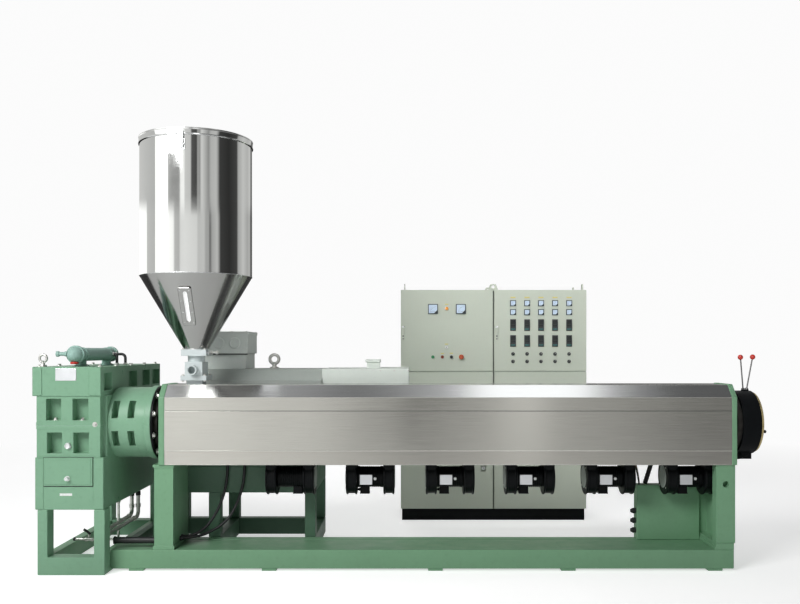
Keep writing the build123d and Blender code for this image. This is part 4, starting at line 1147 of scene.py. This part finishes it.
reach = fg.nodes.new("ShaderNodeMath")
reach.operation = "MAXIMUM"
fg.links.new(far, reach.inputs[0])
fg.links.new(shy.outputs[0], reach.inputs[1])
fg.links.new(reach.outputs[0], mx.inputs["Fac"])
fg.links.new(fg.bsdf.outputs["BSDF"], mx.inputs[1])
fg.links.new(em.outputs["Emission"], mx.inputs[2])
fg.links.new(mx.outputs["Shader"], fg.nodes["Material Output"].inputs["Surface"])
fme.materials.append(fg.mat)


def area(name, loc, target, size, power, color=(1, 1, 1)):
    d = bpy.data.lights.new(name, "AREA")
    d.shape = "RECTANGLE"
    d.size, d.size_y = size
    d.energy = power
    d.color = color
    o = bpy.data.objects.new(name, d)
    o.location = loc
    o.rotation_euler = (Vector(target) - Vector(loc)).to_track_quat("-Z", "Y").to_euler()
    scene.collection.objects.link(o)
    return o


area("key", (-4.5, -6.5, 5.6), (0.0, -0.4, 1.0), (4.0, 3.0), 490)
back = area("back_fill", (1.2, -3.4, 4.4), (1.2, 0.70, 1.75), (2.2, 0.5), 8.5)
back.data.spread = RAD(50)
rear = area("rear_fill", (-2.6, 8.0, 5.0), (-0.4, 0.6, 1.0), (4.0, 3.0), 170)
rear.visible_glossy = False
side = area("side_fill", (1.7, -3.6, 3.3), (-1.05, -0.25, 1.45), (0.7, 0.5), 0.6)
side.data.spread = RAD(18)
side.visible_glossy = False

world = bpy.data.worlds.new("studio")
scene.world = world
world.use_nodes = True
wt = world.node_tree
wn, wl = wt.nodes, wt.links
bg = wn["Background"]
tc = wn.new("ShaderNodeTexCoord")
sep = wn.new("ShaderNodeSeparateXYZ")
wl.new(tc.outputs["Generated"], sep.inputs["Vector"])
at = wn.new("ShaderNodeMath")
at.operation = "ARCTAN2"
wl.new(sep.outputs["X"], at.inputs[0])
neg = wn.new("ShaderNodeMath")
neg.operation = "MULTIPLY"
neg.inputs[1].default_value = -1
wl.new(sep.outputs["Y"], neg.inputs[0])
wl.new(neg.outputs[0], at.inputs[1])
mr = wn.new("ShaderNodeMapRange")
mr.inputs["From Min"].default_value = -math.pi
mr.inputs["From Max"].default_value = math.pi
wl.new(at.outputs[0], mr.inputs["Value"])


def band_ramp(stops):
    r = wn.new("ShaderNodeValToRGB")
    el = r.color_ramp.elements
    while len(el) < len(stops):
        el.new(0.5)
    for e, (deg, v) in zip(el, stops):
        e.position = (deg + 180) / 360
        e.color = (v, v, v * 0.975, 1)
    wl.new(mr.outputs["Result"], r.inputs["Fac"])
    return r.outputs["Color"]


def world_mix(fac, a, b):
    m = wn.new("ShaderNodeMix")
    m.data_type = "RGBA"
    wl.new(fac, next(s for s in m.inputs if s.name == "Factor" and s.type == "VALUE"))
    for key, v in (("A", a), ("B", b)):
        sock = next(s for s in m.inputs if s.name == key and s.type == "RGBA")
        if isinstance(v, tuple):
            sock.default_value = (*v, 1)
        else:
            wl.new(v, sock)
    return next(s for s in m.outputs if s.type == "RGBA")


# soft boxes and dark flags round the studio, by bearing from straight ahead
upper = band_ramp([
    (-180, 0.62), (-120, 0.60), (-77, 0.52), (-75, 1.5), (-46, 1.5), (-44, 0.48), (-36, 0.36), (-24, 0.32), (-20, 0.36), (-18, 1.0),
    (-11, 1.05), (-9, 0.66), (2, 0.60), (4, 0.10), (14, 0.07), (16, 0.40), (20, 0.30), (24, 0.70), (30, 0.52), (38, 0.30), (43, 0.50),
    (54, 0.55), (58, 0.30), (61, 0.05), (82, 0.03), (104, 0.06), (108, 0.42), (124, 0.60), (142, 0.50), (158, 0.62), (164, 0.16), (180, 0.12),
])
lower = band_ramp([
    (-180, 0.10), (-160, 0.10), (-155, 1.3), (-105, 1.3), (-102, 0.60), (-77, 0.54), (-75, 1.5), (-46, 1.5), (-43, 1.2), (-33, 1.1), (-30, 0.55), (-21, 0.50),
    (-18, 0.78), (-9, 0.82), (-4, 0.80), (14, 0.74), (17, 0.58), (29, 0.60), (32, 0.42), (38, 0.40), (41, 0.13),
    (45, 0.40), (56, 0.55), (60, 0.30), (63, 0.05), (84, 0.03), (104, 0.06), (108, 0.40), (124, 0.60), (142, 0.42), (156, 0.50), (162, 0.12),
])
horizon = band_ramp(LOW_BANDS)
split = wn.new("ShaderNodeMapRange")
split.inputs["From Min"].default_value = 0.152
split.inputs["From Max"].default_value = 0.166
wl.new(sep.outputs["Z"], split.inputs["Value"])
dip = wn.new("ShaderNodeMapRange")
dip.inputs["From Min"].default_value = 0.060
dip.inputs["From Max"].default_value = 0.075
wl.new(sep.outputs["Z"], dip.inputs["Value"])
sides = world_mix(split.outputs["Result"], world_mix(dip.outputs["Result"], horizon, lower), upper)
ceil = wn.new("ShaderNodeValToRGB")
stops = ((0.0, 0.78), (0.26, 0.60), (0.36, 0.46), (0.43, 0.26), (0.48, 0.34), (0.555, 0.62), (0.59, 1.75), (0.70, 1.75), (0.735, 0.50), (0.79, 0.17), (1.0, 0.12))
while len(ceil.color_ramp.elements) < len(stops):
    ceil.color_ramp.elements.new(0.5)
for e, (p, v) in zip(ceil.color_ramp.elements, stops):
    e.position = p
    e.color = (v, v * 1.01, v * 1.02, 1)
cx_ = wn.new("ShaderNodeMapRange")
cx_.inputs["From Min"].default_value = -0.5
cx_.inputs["From Max"].default_value = 0.5
wl.new(sep.outputs["X"], cx_.inputs["Value"])
wl.new(cx_.outputs["Result"], ceil.inputs["Fac"])
rise = wn.new("ShaderNodeMapRange")
rise.inputs["From Min"].default_value = 0.45
rise.inputs["From Max"].default_value = 0.75
wl.new(sep.outputs["Z"], rise.inputs["Value"])
room = world_mix(rise.outputs["Result"], sides, ceil.outputs["Color"])
lp = wn.new("ShaderNodeLightPath")
soft = world_mix(lp.outputs["Is Glossy Ray"], (0.115, 0.118, 0.12), room)
out = world_mix(lp.outputs["Is Camera Ray"], soft, (0.97, 0.97, 0.97))
wl.new(out, bg.inputs["Color"])
bg.inputs["Strength"].default_value = 1.0
